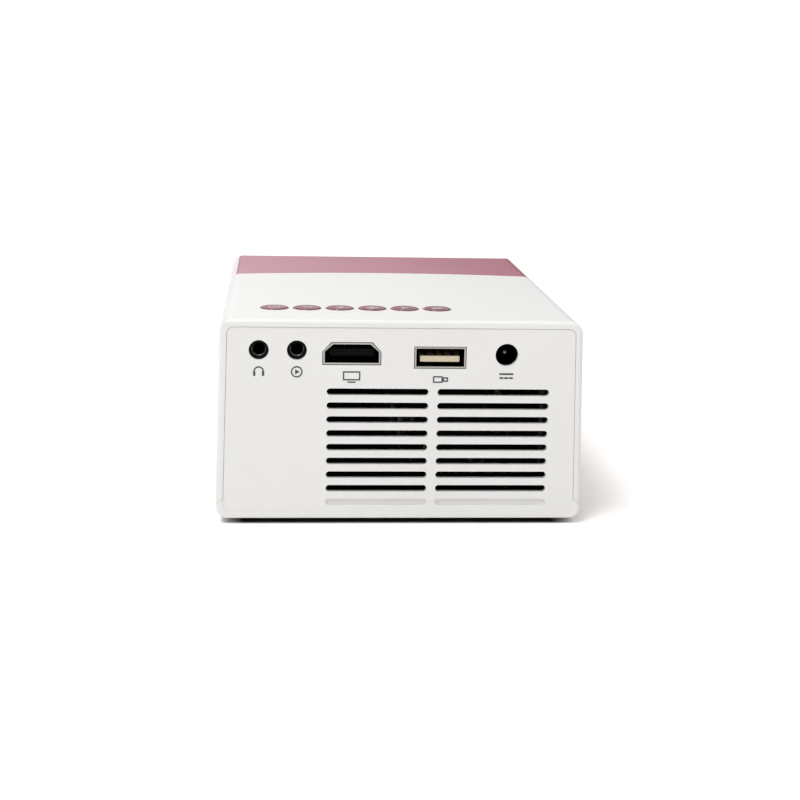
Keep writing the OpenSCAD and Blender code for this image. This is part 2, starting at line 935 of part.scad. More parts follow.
// Picture panel
module lcd_panel() {
    color([0.20, 0.22, 0.26]) light_plate(lcd_y, 2.4);
}

// Flat lead from the picture panel up to the main board
module lcd_flex() {
    color([0.75, 0.45, 0.15]) from_rear()
        block([lens_x - 10, lcd_y + 1, plate_z0 + plate_h + eps],
            [20, 0.3, board_z - plate_z0 - plate_h - 2 * eps]);
}

// Grooved lens after the picture panel
module front_fresnel_lens() {
    color(clear) light_plate(front_fresnel_y, 1.5);
}

// Fixed tube that the lens barrel slides in
module lens_tube() {
    flange_w = 40;
    color([0.10, 0.10, 0.11]) from_rear() difference() {
        union() {
            block([lens_x - flange_w / 2, optics_y1 + 0.1, lens_z - flange_w / 2],
                [flange_w, 2, flange_w]);
            rod_y(lens_x, optics_y1 + 1, lens_z, tube_r, tube_y1 - optics_y1 - 1);
        }
        rod_y(lens_x, barrel_y0 - 0.3, lens_z, tube_bore_r, far);
        rod_y(lens_x, optics_y1 - 1, lens_z, light_r, far);
    }
}

// Grip ring that turns on the lens tube
module focus_ring() {
    ring_y1 = body_l + ring_out;
    color([0.13, 0.13, 0.14]) from_rear() difference() {
        rod_y(lens_x, ring_y0, lens_z, ring_r, ring_y1 - ring_y0);
        rod_y(lens_x, ring_y0 - 1, lens_z, ring_bore_r, ring_y1 - ring_lip - ring_y0 + 1);
        rod_y(lens_x, ring_y0, lens_z, ring_lip_r, far);
        for (i = [0:ring_grooves - 1])
            translate([lens_x, body_l + 0.8, lens_z])
                rotate([0, i * 360 / ring_grooves, 0])
                rotate([-90, 0, 0])
                translate([ring_r + 0.35, 0, 0])
                cylinder(r = 0.75, h = ring_out - 2, $fn = 24);
    }
}

// Barrel that carries the lens elements
module lens_barrel() {
    color([0.16, 0.16, 0.17]) from_rear() difference() {
        rod_y(lens_x, barrel_y0, lens_z, barrel_r, barrel_y1 - barrel_y0);
        rod_y(lens_x, barrel_y0 - 1, lens_z, waist_r, far);
        rod_y(lens_x, barrel_y0 - 1, lens_z, rear_lens_r + seat_gap, rear_seat_l + 1);
        rod_y(lens_x, middle_seat_y, lens_z, middle_lens_r + seat_gap, far);
        rod_y(lens_x, front_seat_y, lens_z, front_lens_r + seat_gap, far);
    }
}

// Lens element whose two faces are parts of spheres
module lens_element(y, r, t, rear_ball_r, front_ball_r) {
    color(clear) from_rear()
        translate([lens_x, y, lens_z])
        rotate([-90, 0, 0])
        rotate_extrude()
        intersection() {
            square([r, t]);
            translate([0, rear_ball_r]) circle(r = rear_ball_r, $fn = 180);
            translate([0, t - front_ball_r]) circle(r = front_ball_r, $fn = 180);
        }
}

// Lens element nearest the picture panel
module lens_element_rear() {
    lens_element(barrel_y0 + 0.5, rear_lens_r, 5.4, 60, 38);
}

// Middle lens element
module lens_element_middle() {
    lens_element(middle_seat_y + seat_gap, middle_lens_r, 4.2, 55, 80);
}

// Front lens element
module lens_element_front() {
    lens_element(front_seat_y + seat_gap, front_lens_r, 5.2, 90, 36);
}

// Ring that holds the front element
module lens_retaining_ring() {
    t = 1.9;
    y0 = barrel_y1 - t - 0.2;
    color(black_plastic) from_rear() difference() {
        rod_y(lens_x, y0, lens_z, front_lens_r + seat_gap / 2, t);
        translate([lens_x, y0 - 0.9, lens_z])
            rotate([-90, 0, 0])
            cylinder(r1 = front_lens_r - 2.9, r2 = front_lens_r - 0.9, h = t + 1.1);
    }
}

// Four round rubber feet
module rubber_feet() {
    color([0.12, 0.12, 0.12]) from_rear()
        at_feet() rod_z(0, 0, 0, foot_r, foot_h + foot_recess - 0.02);
}

// A pan-head screw pointing up, given the underside of its head and its shank
module screw(z, head_r, head_h, shank_r, l) {
    difference() {
        union() {
            rod_z(0, 0, z, head_r, head_h);
            rod_z(0, 0, z + head_h - eps, shank_r, l);
        }
        for (a = [0, 90])
            rotate([0, 0, a]) block([-head_r / 2, -0.25, z - eps], [head_r, 0.5, head_h * 0.5]);
    }
}

// Four screws through the bottom shell into the cover
module case_screws() {
    color(metal) from_rear()
        at_bosses() screw(base_z + 0.85, screw_head_r, screw_head_h, screw_r, case_screw_l);
}

// Four screws that hold the main board under the cover
module board_screws() {
    color(metal) from_rear()
        at_board_holes() screw(board_z - 1.25, 1.8, 1.2, 0.75, 2.4);
}

// Two screws that hold the lid of the light box
module lid_screws() {
    color(metal) from_rear()
        at_lid_screws() translate([0, 0, 2 * (optics_z1 + 1.5)]) mirror([0, 0, 1])
            screw(optics_z1 + 0.2, 1.7, 1.2, 0.8, 5);
}

// Threaded brass insert for a tripod
module tripod_insert() {
    color(brass) from_rear() difference() {
        rod_z(tripod_x, tripod_y, base_z + 0.1, tripod_outer_r - 0.02, tripod_depth - 0.15);
        rod_z(tripod_x, tripod_y, 0, tripod_bore_r, base_z + tripod_depth - 0.6);
    }
}

// A round wire along straight stretches with ball corners
module wire(points, r) {
    knot = 1.08;
    for (i = [0:len(points) - 2]) {
        a = points[i];
        d = points[i + 1] - a;
        l = norm(d);
        translate(a)
            rotate([0, acos(d[2] / l), atan2(d[1], d[0])])
            cylinder(r = r, h = l, $fn = 24);
        translate(a) sphere(r = r * knot, $fn = 24);
    }
    translate(points[len(points) - 1]) sphere(r = r * knot, $fn = 24);
}

// Lead from the fan to the main board
module fan_lead() {
    color(black_plastic) from_rear()
        wire([[-4.2, 24, lens_z + 5.8], [-7, 26, lens_z + 9.8], [-7, 34, lead_end_z - 1.1]], lead_r);
}

// Lead from the light source to the main board
module led_lead() {
    color([0.85, 0.80, 0.20]) from_rear()
        wire([[14, 45.5, lens_z + 10.3], [14, 46.3, lens_z + 17.3], [14, 46.3, lead_end_z]], lead_r);
}

// Lead from the speaker to the main board
module speaker_lead() {
    color([0.20, 0.20, 0.75]) from_rear()
        wire([[-34.8, speaker_y, speaker_z + 3.5], [-31, speaker_y + 2, speaker_z + 10.5],
            [-30, speaker_y - 6, lead_end_z]], lead_r);
}

top_cover();
bottom_shell();
front_panel();
button(1);  // button_1
button(2);  // button_2
button(3);  // button_3
button(4);  // button_4
button(5);  // button_5
button(6);  // button_6
switch_plunger(1);  // switch_plunger_1
switch_plunger(2);  // switch_plunger_2
switch_plunger(3);  // switch_plunger_3
switch_plunger(4);  // switch_plunger_4
switch_plunger(5);  // switch_plunger_5
switch_plunger(6);  // switch_plunger_6
key_switches();
main_board();
board_chips();
board_capacitors();
audio_jack();
av_jack();
video_socket_shell();
video_socket_tongue();
data_socket_shell();
data_socket_tongue();
power_jack();
power_jack_pin();
remote_receiver();
speaker_frame();
speaker_cone();
fan_frame();
fan_rotor();
heat_sink();
led_board();
led_emitter();
condenser_lens();
condenser_holder();
optics_case();
optics_lid();
rear_fresnel_lens();
heat_glass();
lcd_panel();
lcd_flex();
front_fresnel_lens();
lens_tube();
focus_ring();
lens_barrel();
lens_element_rear();
lens_element_middle();
lens_element_front();
lens_retaining_ring();
rubber_feet();
case_screws();
board_screws();
lid_screws();
tripod_insert();
fan_lead();
led_lead();
speaker_lead();
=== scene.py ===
"""Pocket LED projector: the looks of the case, keys, sockets, lens and inner parts."""

import json
import logging
import math
from dataclasses import dataclass, field
from enum import Enum
from typing import Callable, Iterable, Sequence

import bmesh
import bpy
from mathutils import Matrix, Vector


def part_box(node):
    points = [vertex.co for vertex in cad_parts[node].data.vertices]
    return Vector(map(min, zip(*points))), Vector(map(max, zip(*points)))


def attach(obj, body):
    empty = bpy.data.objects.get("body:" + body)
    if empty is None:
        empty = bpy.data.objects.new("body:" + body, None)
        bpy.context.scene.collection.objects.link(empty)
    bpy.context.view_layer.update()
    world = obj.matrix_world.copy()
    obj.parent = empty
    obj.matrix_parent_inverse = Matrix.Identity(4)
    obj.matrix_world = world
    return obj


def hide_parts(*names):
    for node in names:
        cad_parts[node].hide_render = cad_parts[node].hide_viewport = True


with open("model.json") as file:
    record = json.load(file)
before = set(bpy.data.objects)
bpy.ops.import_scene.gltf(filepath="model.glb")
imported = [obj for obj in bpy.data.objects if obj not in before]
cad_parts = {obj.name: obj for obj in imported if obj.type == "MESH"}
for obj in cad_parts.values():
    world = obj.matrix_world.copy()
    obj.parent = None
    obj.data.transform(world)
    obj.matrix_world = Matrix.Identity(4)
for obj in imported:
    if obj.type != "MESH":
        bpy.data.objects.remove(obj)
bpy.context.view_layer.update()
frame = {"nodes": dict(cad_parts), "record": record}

LOG = logging.getLogger("projector")
MM = 0.001

# Settings that the finishes share
DRIFT_SCALE = 28.0
BRUSH_SCALE = 300.0
TRACK_SCALE = 320.0
TRACK_GREEN = (0.022, 0.14, 0.060)
PAD_TIN = (0.50, 0.47, 0.40)
DUST_COLOR = (0.62, 0.60, 0.57)
# Near black of the painted shade inside the case
PAINTED_SHADE_DARK = (0.006, 0.006, 0.006)
# Share of its colour that a part keeps in the painted shade deep behind the rear face
DEEP_SHADE = 0.05
SCRATCH_ROUGHNESS = 0.5
DUST_ROUGHNESS = 0.4
GLASS_DRIFT_SCALE = 60.0
GLASS_SCRATCHES = 0.15
GLASS_SCRATCH_ROUGHNESS = 0.3

# Walls of the case: thickness, lean of the sides and top of the floor
WALL = 1.75 * MM
DRAFT = 1.4 * MM
FLOOR_TOP = 1.9 * MM

Color = tuple[float, float, float]
Point2 = tuple[float, float]
Point3 = tuple[float, float, float]


# ---------------------------------------------------------------------------
# Places taken from the frame
# ---------------------------------------------------------------------------


def corners(node: str) -> tuple[Vector, Vector]:
    """Lowest and highest corners of a CAD node.

    Args:
        node: Name of the node.

    Returns:
        The two corners, in metres.
    """
    low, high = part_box(node)
    return Vector(low), Vector(high)


def middle(node: str) -> Vector:
    """Centre of a CAD node's box.

    Args:
        node: Name of the node.

    Returns:
        The centre, in metres.
    """
    low, high = corners(node)
    return (low + high) / 2


def mount(name: str) -> Vector:
    """Position of one of the record's mounts.

    Args:
        name: Name of the mount.

    Returns:
        Its position, in metres.
    """
    for entry in frame["record"]["mounts"]:
        if entry["name"] == name:
            return Vector(entry["pos_m"])
    raise KeyError(name)


# ---------------------------------------------------------------------------
# Effects shared by several materials, as shader node groups
# ---------------------------------------------------------------------------


class Effect(Enum):
    """Names of the shared shader effects."""

    GRAIN = "moulded_grain"
    DRIFT = "tone_drift"
    WEAR = "edge_wear"
    DUST = "settled_dust"
    SCRATCHES = "fine_scratches"
    BRUSHED = "brushed_lines"
    INSIDE = "painted_shade_box"
    RINGS = "turned_rings"
    TRACES = "copper_tracks"


class Tree:
    """A thin helper around one shader node tree."""

    def __init__(self, tree: bpy.types.NodeTree) -> None:
        """Keep the tree that nodes are added to."""
        self.tree = tree

    def add(self, kind: str, **settings: object) -> bpy.types.Node:
        """Add a node.

        Args:
            kind: Blender's name of the node type.
            settings: Properties to set on the node.

        Returns:
            The new node.
        """
        node = self.tree.nodes.new(kind)
        for key, value in settings.items():
            setattr(node, key, value)
        return node

    def join(self, source: bpy.types.NodeSocket, target: bpy.types.NodeSocket) -> None:
        """Link an output to an input."""
        self.tree.links.new(source, target)

    def feed(self, target: bpy.types.NodeSocket, value: object) -> None:
        """Link a socket or write a plain value to an input.

        Args:
            target: The input.
            value: An output socket, or a number, colour or vector.
        """
        if isinstance(value, bpy.types.NodeSocket):
            self.join(value, target)
        else:
            target.default_value = value

    def bump(self, height: object, distance: float, surface: bpy.types.Node) -> None:
        """Turn a height into the normal of a surface shader.

        Args:
            height: Output socket that gives the height.
            distance: Size of the relief, in metres.
            surface: The shader node whose normal is set.
        """
        relief = self.add("ShaderNodeBump")
        relief.inputs["Distance"].default_value = distance
        self.join(height, relief.inputs["Height"])
        self.join(relief.outputs["Normal"], surface.inputs["Normal"])

    def math(
        self, operation: str, first: object, second: object = 0.0, clamp: bool = False
    ) -> bpy.types.NodeSocket:
        """Add a Math node.

        Args:
            operation: The operation's name.
            first: First input, a socket or a number.
            second: Second input, a socket or a number.
            clamp: Whether the result is held between 0 and 1.

        Returns:
            The node's output.
        """
        node = self.add("ShaderNodeMath", operation=operation, use_clamp=clamp)
        self.feed(node.inputs[0], first)
        self.feed(node.inputs[1], second)
        return node.outputs[0]

    def vector(
        self, operation: str, first: object, second: object = (0.0, 0.0, 0.0)
    ) -> bpy.types.Node:
        """Add a Vector Math node.

        Args:
            operation: The operation's name.
            first: First input, a socket or a vector.
            second: Second input, a socket or a vector.

        Returns:
            The node.
        """
        node = self.add("ShaderNodeVectorMath", operation=operation)
        self.feed(node.inputs[0], first)
        self.feed(node.inputs[1], second)
        return node

    def noise(
        self, vector: object, scale: object, detail: float = 2.0, rough: float = 0.5
    ) -> bpy.types.NodeSocket:
        """Add a noise texture.

        Args:
            vector: Coordinates, as a socket.
            scale: Features per metre, a socket or a number.
            detail: Number of octaves.
            rough: Strength of the finer octaves.

        Returns:
            The texture's value, from 0 to 1.
        """
        node = self.add("ShaderNodeTexNoise", noise_dimensions="3D")
        self.feed(node.inputs["Vector"], vector)
        self.feed(node.inputs["Scale"], scale)
        node.inputs["Detail"].default_value = detail
        node.inputs["Roughness"].default_value = rough
        return node.outputs["Fac"]

    def remap(
        self, value: object, low: object, high: object, to_low: object = 0.0, to_high: object = 1.0
    ) -> bpy.types.NodeSocket:
        """Add a Map Range node that clamps.

        Args:
            value: The value to map.
            low: Start of its range.
            high: End of its range.
            to_low: What the start maps to.
            to_high: What the end maps to.

        Returns:
            The mapped value.
        """
        node = self.add("ShaderNodeMapRange", clamp=True)
        for socket, entry in zip(node.inputs, (value, low, high, to_low, to_high)):
            self.feed(socket, entry)
        return node.outputs[0]

    def mix(self, factor: object, first: object, second: object) -> bpy.types.NodeSocket:
        """Mix two colours.

        Args:
            factor: 0 for the first colour, 1 for the second.
            first: A socket or a colour.
            second: A socket or a colour.

        Returns:
            The mixed colour.
        """
        node = self.add("ShaderNodeMix", data_type="RGBA")
        self.feed(node.inputs["Factor"], factor)
        colours = [s for s in node.inputs if s.type == "RGBA"]
        for socket, entry in zip(colours, (first, second)):
            self.feed(socket, entry if isinstance(entry, bpy.types.NodeSocket) else rgba(entry))
        return next(s for s in node.outputs if s.type == "RGBA")


def rgba(color: Sequence[float]) -> tuple[float, ...]:
    """A colour with full alpha.

    Args:
        color: Three or four numbers.

    Returns:
        Four numbers.
    """
    return tuple(color) if len(color) == 4 else (*color, 1.0)


class Effects:
    """Builds each shared effect once and hands out its node group."""

    def __init__(self) -> None:
        """Start with no group built."""
        self.groups: dict[Effect, bpy.types.NodeTree] = {}
        self.makers: dict[Effect, Callable[[], bpy.types.NodeTree]] = {
            Effect.GRAIN: self.make_grain,
            Effect.DRIFT: self.make_drift,
            Effect.WEAR: self.make_wear,
            Effect.DUST: self.make_dust,
            Effect.SCRATCHES: self.make_scratches,
            Effect.BRUSHED: self.make_brushed,
            Effect.INSIDE: self.make_inside,
            Effect.RINGS: self.make_rings,
            Effect.TRACES: self.make_traces,
        }

    def place(self, tree: Tree, effect: Effect, **inputs: object) -> bpy.types.Node:
        """Place an effect in a material.

        Args:
            tree: The material's tree.
            effect: Which effect.
            inputs: Values for its inputs, with underscores for spaces.

        Returns:
            The group node.
        """
        if effect not in self.groups:
            self.groups[effect] = self.makers[effect]()
        node = tree.add("ShaderNodeGroup", node_tree=self.groups[effect])
        for key, value in inputs.items():
            tree.feed(node.inputs[key.replace("_", " ")], value)
        return node

    @staticmethod
    def start(
        effect: Effect, inputs: dict[str, object], outputs: dict[str, str]
    ) -> tuple[Tree, bpy.types.Node, bpy.types.Node]:
        """Make an empty group with named sockets.

        Args:
            effect: Which effect.
            inputs: Default value of each input; a tuple of three is a vector, of four a colour.
            outputs: Socket kind of each output.

        Returns:
            The group's tree helper, its input node and its output node.
        """
        group = bpy.data.node_groups.new(effect.value, "ShaderNodeTree")
        for name, value in inputs.items():
            if isinstance(value, float):
                kind = "NodeSocketFloat"
            else:
                kind = "NodeSocketColor" if len(value) == 4 else "NodeSocketVector"
            socket = group.interface.new_socket(name=name, in_out="INPUT", socket_type=kind)
            socket.default_value = value
        for name, kind in outputs.items():
            group.interface.new_socket(name=name, in_out="OUTPUT", socket_type=kind)
        tree = Tree(group)
        return tree, tree.add("NodeGroupInput"), tree.add("NodeGroupOutput")

    @staticmethod
    def place_of(tree: Tree) -> bpy.types.NodeSocket:
        """Coordinates fixed to the object, in metres."""
        return tree.add("ShaderNodeTexCoord").outputs["Object"]

    def make_grain(self) -> bpy.types.NodeTree:
        """Fine spark-eroded texture of moulded plastic."""
        tree, entry, leave = self.start(
            Effect.GRAIN, {"Scale": 3000.0},
            {"Height": "NodeSocketFloat", "Value": "NodeSocketFloat"}
        )
        at = self.place_of(tree)
        coarse = tree.noise(at, entry.outputs["Scale"], 2.0)
        fine = tree.noise(at, tree.math("MULTIPLY", entry.outputs["Scale"], 3.1), 1.0)
        total = tree.math(
            "ADD", tree.math("MULTIPLY", coarse, 0.65), tree.math("MULTIPLY", fine, 0.35)
        )
        tree.join(total, leave.inputs["Height"])
        tree.join(tree.remap(total, 0.3, 0.7), leave.inputs["Value"])
        return tree.tree

    def make_drift(self) -> bpy.types.NodeTree:
        """Slow change of tone over a surface."""
        tree, entry, leave = self.start(
            Effect.DRIFT,
            {
                "Color": (0.8, 0.8, 0.8, 1.0), "Drift Color": (0.7, 0.7, 0.7, 1.0), "Scale": 30.0,
                "Amount": 0.5
            },
            {"Color": "NodeSocketColor", "Value": "NodeSocketFloat"},
        )
        value = tree.remap(tree.noise(self.place_of(tree), entry.outputs["Scale"], 3.0), 0.3, 0.7)
        factor = tree.math("MULTIPLY", value, entry.outputs["Amount"])
        tree.join(
            tree.mix(factor, entry.outputs["Color"], entry.outputs["Drift Color"]),
            leave.inputs["Color"]
        )
        tree.join(value, leave.inputs["Value"])
        return tree.tree

    def make_wear(self) -> bpy.types.NodeTree:
        """Mask of the edges, broken up by noise."""
        tree, entry, leave = self.start(
            Effect.WEAR, {"Radius": 0.0003, "Amount": 1.0, "Scale": 900.0},
            {"Mask": "NodeSocketFloat"}
        )
        bevel = tree.add("ShaderNodeBevel", samples=4)
        tree.join(entry.outputs["Radius"], bevel.inputs["Radius"])
        geometry = tree.add("ShaderNodeNewGeometry")
        dot = tree.vector("DOT_PRODUCT", bevel.outputs["Normal"], geometry.outputs["Normal"])
        edge = tree.remap(dot.outputs["Value"], 0.995, 0.8)
        patchy = tree.remap(tree.noise(self.place_of(tree), entry.outputs["Scale"], 3.0), 0.4, 0.65)
        mask = tree.math(
            "MULTIPLY", tree.math("MULTIPLY", edge, patchy), entry.outputs["Amount"], clamp=True
        )
        tree.join(mask, leave.inputs["Mask"])
        return tree.tree

    def make_dust(self) -> bpy.types.NodeTree:
        """Thin dust on faces that look up."""
        tree, entry, leave = self.start(
            Effect.DUST, {"Amount": 0.2, "Scale": 600.0}, {"Mask": "NodeSocketFloat"}
        )
        geometry = tree.add("ShaderNodeNewGeometry")
        split = tree.add("ShaderNodeSeparateXYZ")
        tree.join(geometry.outputs["Normal"], split.inputs[0])
        upward = tree.remap(split.outputs["Z"], 0.3, 0.95)
        specks = tree.remap(
            tree.noise(self.place_of(tree), entry.outputs["Scale"], 4.0, 0.7), 0.5, 0.72
        )
        mask = tree.math("MULTIPLY", tree.math("MULTIPLY", upward, specks), entry.outputs["Amount"])
        tree.join(mask, leave.inputs["Mask"])
        return tree.tree

    def make_scratches(self) -> bpy.types.NodeTree:
        """Hairline marks in two directions."""
        tree, entry, leave = self.start(
            Effect.SCRATCHES, {"Amount": 0.3, "Scale": 90.0},
            {"Mask": "NodeSocketFloat", "Height": "NodeSocketFloat"}
        )
        at = self.place_of(tree)
        layers = []
        for stretch in ((1.0, 34.0, 9.0), (27.0, 1.3, 11.0)):
            spread = tree.vector("MULTIPLY", at, stretch)
            value = tree.noise(spread.outputs["Vector"], entry.outputs["Scale"], 4.0, 0.6)
            layers.append(tree.remap(value, 0.66, 0.74))
        both = tree.math("MAXIMUM", layers[0], layers[1])
        tree.join(tree.math("MULTIPLY", both, entry.outputs["Amount"]), leave.inputs["Mask"])
        tree.join(tree.math("MULTIPLY", both, -1.0), leave.inputs["Height"])
        return tree.tree

    def make_brushed(self) -> bpy.types.NodeTree:
        """Fine parallel lines of drawn or rolled metal."""
        tree, entry, leave = self.start(
            Effect.BRUSHED,
            {"Stretch": (1.0, 30.0, 30.0), "Scale": 300.0},
            {"Height": "NodeSocketFloat", "Value": "NodeSocketFloat"},
        )
        spread = tree.vector("MULTIPLY", self.place_of(tree), entry.outputs["Stretch"])
        value = tree.noise(spread.outputs["Vector"], entry.outputs["Scale"], 3.0)
        tree.join(value, leave.inputs["Height"])
        tree.join(tree.remap(value, 0.35, 0.65), leave.inputs["Value"])
        return tree.tree

    def make_inside(self) -> bpy.types.NodeTree:
        """Mask of what lies inside a box, for the painted shade inside the case and deep in the
        sockets.
        """
        tree, entry, leave = self.start(
            Effect.INSIDE, {"Low": (0.0, 0.0, 0.0), "High": (1.0, 1.0, 1.0)},
            {"Mask": "NodeSocketFloat"}
        )
        at = tree.add("ShaderNodeSeparateXYZ")
        low = tree.add("ShaderNodeSeparateXYZ")
        high = tree.add("ShaderNodeSeparateXYZ")
        tree.join(self.place_of(tree), at.inputs[0])
        tree.join(entry.outputs["Low"], low.inputs[0])
        tree.join(entry.outputs["High"], high.inputs[0])
        mask: object = 1.0
        for axis in "XYZ":
            above = tree.math("GREATER_THAN", at.outputs[axis], low.outputs[axis])
            below = tree.math("LESS_THAN", at.outputs[axis], high.outputs[axis])
            mask = tree.math("MULTIPLY", tree.math("MULTIPLY", above, below), mask)
        tree.join(mask, leave.inputs["Mask"])
        return tree.tree

    def make_rings(self) -> bpy.types.NodeTree:
        """Fine rings around an axis along Y, as a lathe leaves them."""
        tree, entry, leave = self.start(
            Effect.RINGS,
            {"Centre": (0.0, 0.0, 0.0), "Pitch": 0.0002, "Along": 0.0},
            {"Height": "NodeSocketFloat", "Value": "NodeSocketFloat"},
        )
        offset = tree.vector("SUBTRACT", self.place_of(tree), entry.outputs["Centre"])
        flat = tree.vector("MULTIPLY", offset.outputs["Vector"], (1.0, 0.0, 1.0))
        radius = tree.vector("LENGTH", flat.outputs["Vector"]).outputs["Value"]
        split = tree.add("ShaderNodeSeparateXYZ")
        tree.join(offset.outputs["Vector"], split.inputs[0])
        depth = tree.math("MULTIPLY", split.outputs["Y"], entry.outputs["Along"])
        turns = tree.math("DIVIDE", tree.math("ADD", radius, depth), entry.outputs["Pitch"])
        wave = tree.math("SINE", tree.math("MULTIPLY", turns, 2 * math.pi))
        tree.join(wave, leave.inputs["Height"])
        tree.join(tree.remap(wave, -1.0, 1.0), leave.inputs["Value"])
        return tree.tree

    def make_traces(self) -> bpy.types.NodeTree:
        """Copper tracks and round pads of a circuit board."""
        tree, entry, leave = self.start(
            Effect.TRACES, {"Scale": 300.0}, {"Mask": "NodeSocketFloat", "Pads": "NodeSocketFloat"}
        )
        at = self.place_of(tree)
        bricks = tree.add("ShaderNodeTexBrick", offset=0.37, squash=0.6)
        tree.join(at, bricks.inputs["Vector"])
        tree.join(entry.outputs["Scale"], bricks.inputs["Scale"])
        bricks.inputs["Mortar Size"].default_value = 0.04
        dots = tree.add("ShaderNodeTexVoronoi", voronoi_dimensions="3D")
        tree.join(at, dots.inputs["Vector"])
        tree.join(entry.outputs["Scale"], dots.inputs["Scale"])
        tree.join(bricks.outputs["Fac"], leave.inputs["Mask"])
        tree.join(tree.remap(dots.outputs["Distance"], 0.16, 0.12), leave.inputs["Pads"])
        return tree.tree


EFFECTS = Effects()


# ---------------------------------------------------------------------------
# Finishes
# ---------------------------------------------------------------------------


@dataclass(frozen=True)
class Finish:
    """A moulded, coated or metal finish.

    Attributes:
        name: Material name.
        slot: The record's material slot.
        color: Main colour, linear.
        drift: Colour that the main one drifts towards.
        roughness: Middle roughness.
        spread: How far the roughness varies.
        metallic: 1 for metal, 0 otherwise.
        coat: Weight of the clear coat.
        coat_roughness: Roughness of the coat.
        ior: Index of refraction.
        grain: Features of the surface texture per metre.
        relief: Depth of the texture, in metres.
        wear: Strength of the worn edges.
        worn: Colour of worn edges.
        dust: Strength of the dust.
        scratches: Strength of hairline marks.
        sheen: Weight of the soft sheen of rubber and cloth.
        painted_shade_inside: Whether the part gets a near-black painted shade inside the case.
        painted_shade_depth: Distance behind the rear face beyond which the part gets a painted
            shade, 0 for none.
        brushed: Stretch of the drawn lines along X, Y and Z, or none.
        rings: Pitch of turned rings around the light path, 0 for none.
        traces: Whether copper tracks show under the surface.
    """

    name: str
    slot: str
    color: Color
    drift: Color
    roughness: float = 0.45
    spread: float = 0.08
    metallic: float = 0.0
    coat: float = 0.0
    coat_roughness: float = 0.05
    ior: float = 1.5
    grain: float = 3000.0
    relief: float = 0.000008
    wear: float = 0.0
    worn: Color = (0.9, 0.9, 0.9)
    dust: float = 0.0
    scratches: float = 0.0
    sheen: float = 0.0
    painted_shade_inside: bool = False
    painted_shade_depth: float = 0.0
    brushed: Point3 | None = None
    rings: float = 0.0
    traces: bool = False

    def build(self) -> bpy.types.Material:
        """Make the material, or find it if it is made.

        Returns:
            The material.
        """
        made = bpy.data.materials.get(self.name)
        return made if made else self.compose()

    def blank(self) -> tuple[bpy.types.Material, Tree, bpy.types.Node]:
        """Make a material with only its surface shader.

        Returns:
            The material, its tree and its Principled node.
        """
        material = bpy.data.materials.new(self.name)
        material.use_nodes = True
        material.diffuse_color = rgba(self.color)
        tree = Tree(material.node_tree)
        surface = next(n for n in material.node_tree.nodes if n.type == "BSDF_PRINCIPLED")
        surface.inputs["IOR"].default_value = self.ior
        surface.inputs["Metallic"].default_value = self.metallic
        surface.inputs["Coat Weight"].default_value = self.coat
        surface.inputs["Coat Roughness"].default_value = self.coat_roughness
        surface.inputs["Sheen Weight"].default_value = self.sheen
        return material, tree, surface

    def compose(self) -> bpy.types.Material:
        """Join the effects to the surface shader.

        Returns:
            The material.
        """
        material, tree, surface = self.blank()
        drift = EFFECTS.place(
            tree, Effect.DRIFT, Color=rgba(self.color), Drift_Color=rgba(self.drift),
            Scale=DRIFT_SCALE, Amount=1.0
        )
        grain = EFFECTS.place(tree, Effect.GRAIN, Scale=self.grain)
        color = drift.outputs["Color"]
        rough = tree.remap(
            grain.outputs["Value"], 0.0, 1.0, self.roughness - self.spread,
            self.roughness + self.spread
        )
        height = grain.outputs["Height"]
        if self.brushed:
            lines = EFFECTS.place(tree, Effect.BRUSHED, Stretch=self.brushed, Scale=BRUSH_SCALE)
            height = lines.outputs["Height"]
            spread = tree.math("MULTIPLY", lines.outputs["Value"], self.spread)
            rough = tree.math("ADD", rough, spread)
        if self.rings > 0:
            centre = tuple(middle("lens_barrel"))
            turned = EFFECTS.place(tree, Effect.RINGS, Centre=centre, Pitch=self.rings, Along=1.0)
            height = turned.outputs["Height"]
        if self.traces:
            tracks = EFFECTS.place(tree, Effect.TRACES, Scale=TRACK_SCALE)
            color = tree.mix(tracks.outputs["Mask"], color, TRACK_GREEN)
            color = tree.mix(tracks.outputs["Pads"], color, PAD_TIN)
            height = tree.math("ADD", tracks.outputs["Mask"], tracks.outputs["Pads"])
        if self.scratches > 0:
            marks = EFFECTS.place(tree, Effect.SCRATCHES, Amount=self.scratches)
            rough = tree.math(
                "ADD", rough, tree.math("MULTIPLY", marks.outputs["Mask"], SCRATCH_ROUGHNESS)
            )
        if self.wear > 0:
            edges = EFFECTS.place(tree, Effect.WEAR, Amount=self.wear)
            color = tree.mix(edges.outputs["Mask"], color, self.worn)
        if self.dust > 0:
            film = EFFECTS.place(tree, Effect.DUST, Amount=self.dust)
            color = tree.mix(film.outputs["Mask"], color, DUST_COLOR)
            rough = tree.math(
                "ADD", rough, tree.math("MULTIPLY", film.outputs["Mask"], DUST_ROUGHNESS)
            )
        # Painted shade: the part turns near black inside the case, where little light reaches
        if self.painted_shade_inside:
            low, high = inner_space()
            inside = EFFECTS.place(tree, Effect.INSIDE, Low=low, High=high)
            color = tree.mix(inside.outputs["Mask"], color, PAINTED_SHADE_DARK)
        # Painted shade: the part darkens to a twentieth of its colour deep behind the rear face,
        # inside the sockets
        if self.painted_shade_depth > 0:
            low, high = deeper_than(self.painted_shade_depth)
            deep = EFFECTS.place(tree, Effect.INSIDE, Low=low, High=high)
            color = tree.mix(deep.outputs["Mask"], color, tuple(DEEP_SHADE * v for v in self.color))
        tree.join(color, surface.inputs["Base Color"])
        tree.join(rough, surface.inputs["Roughness"])
        tree.bump(height, self.relief, surface)
        return material


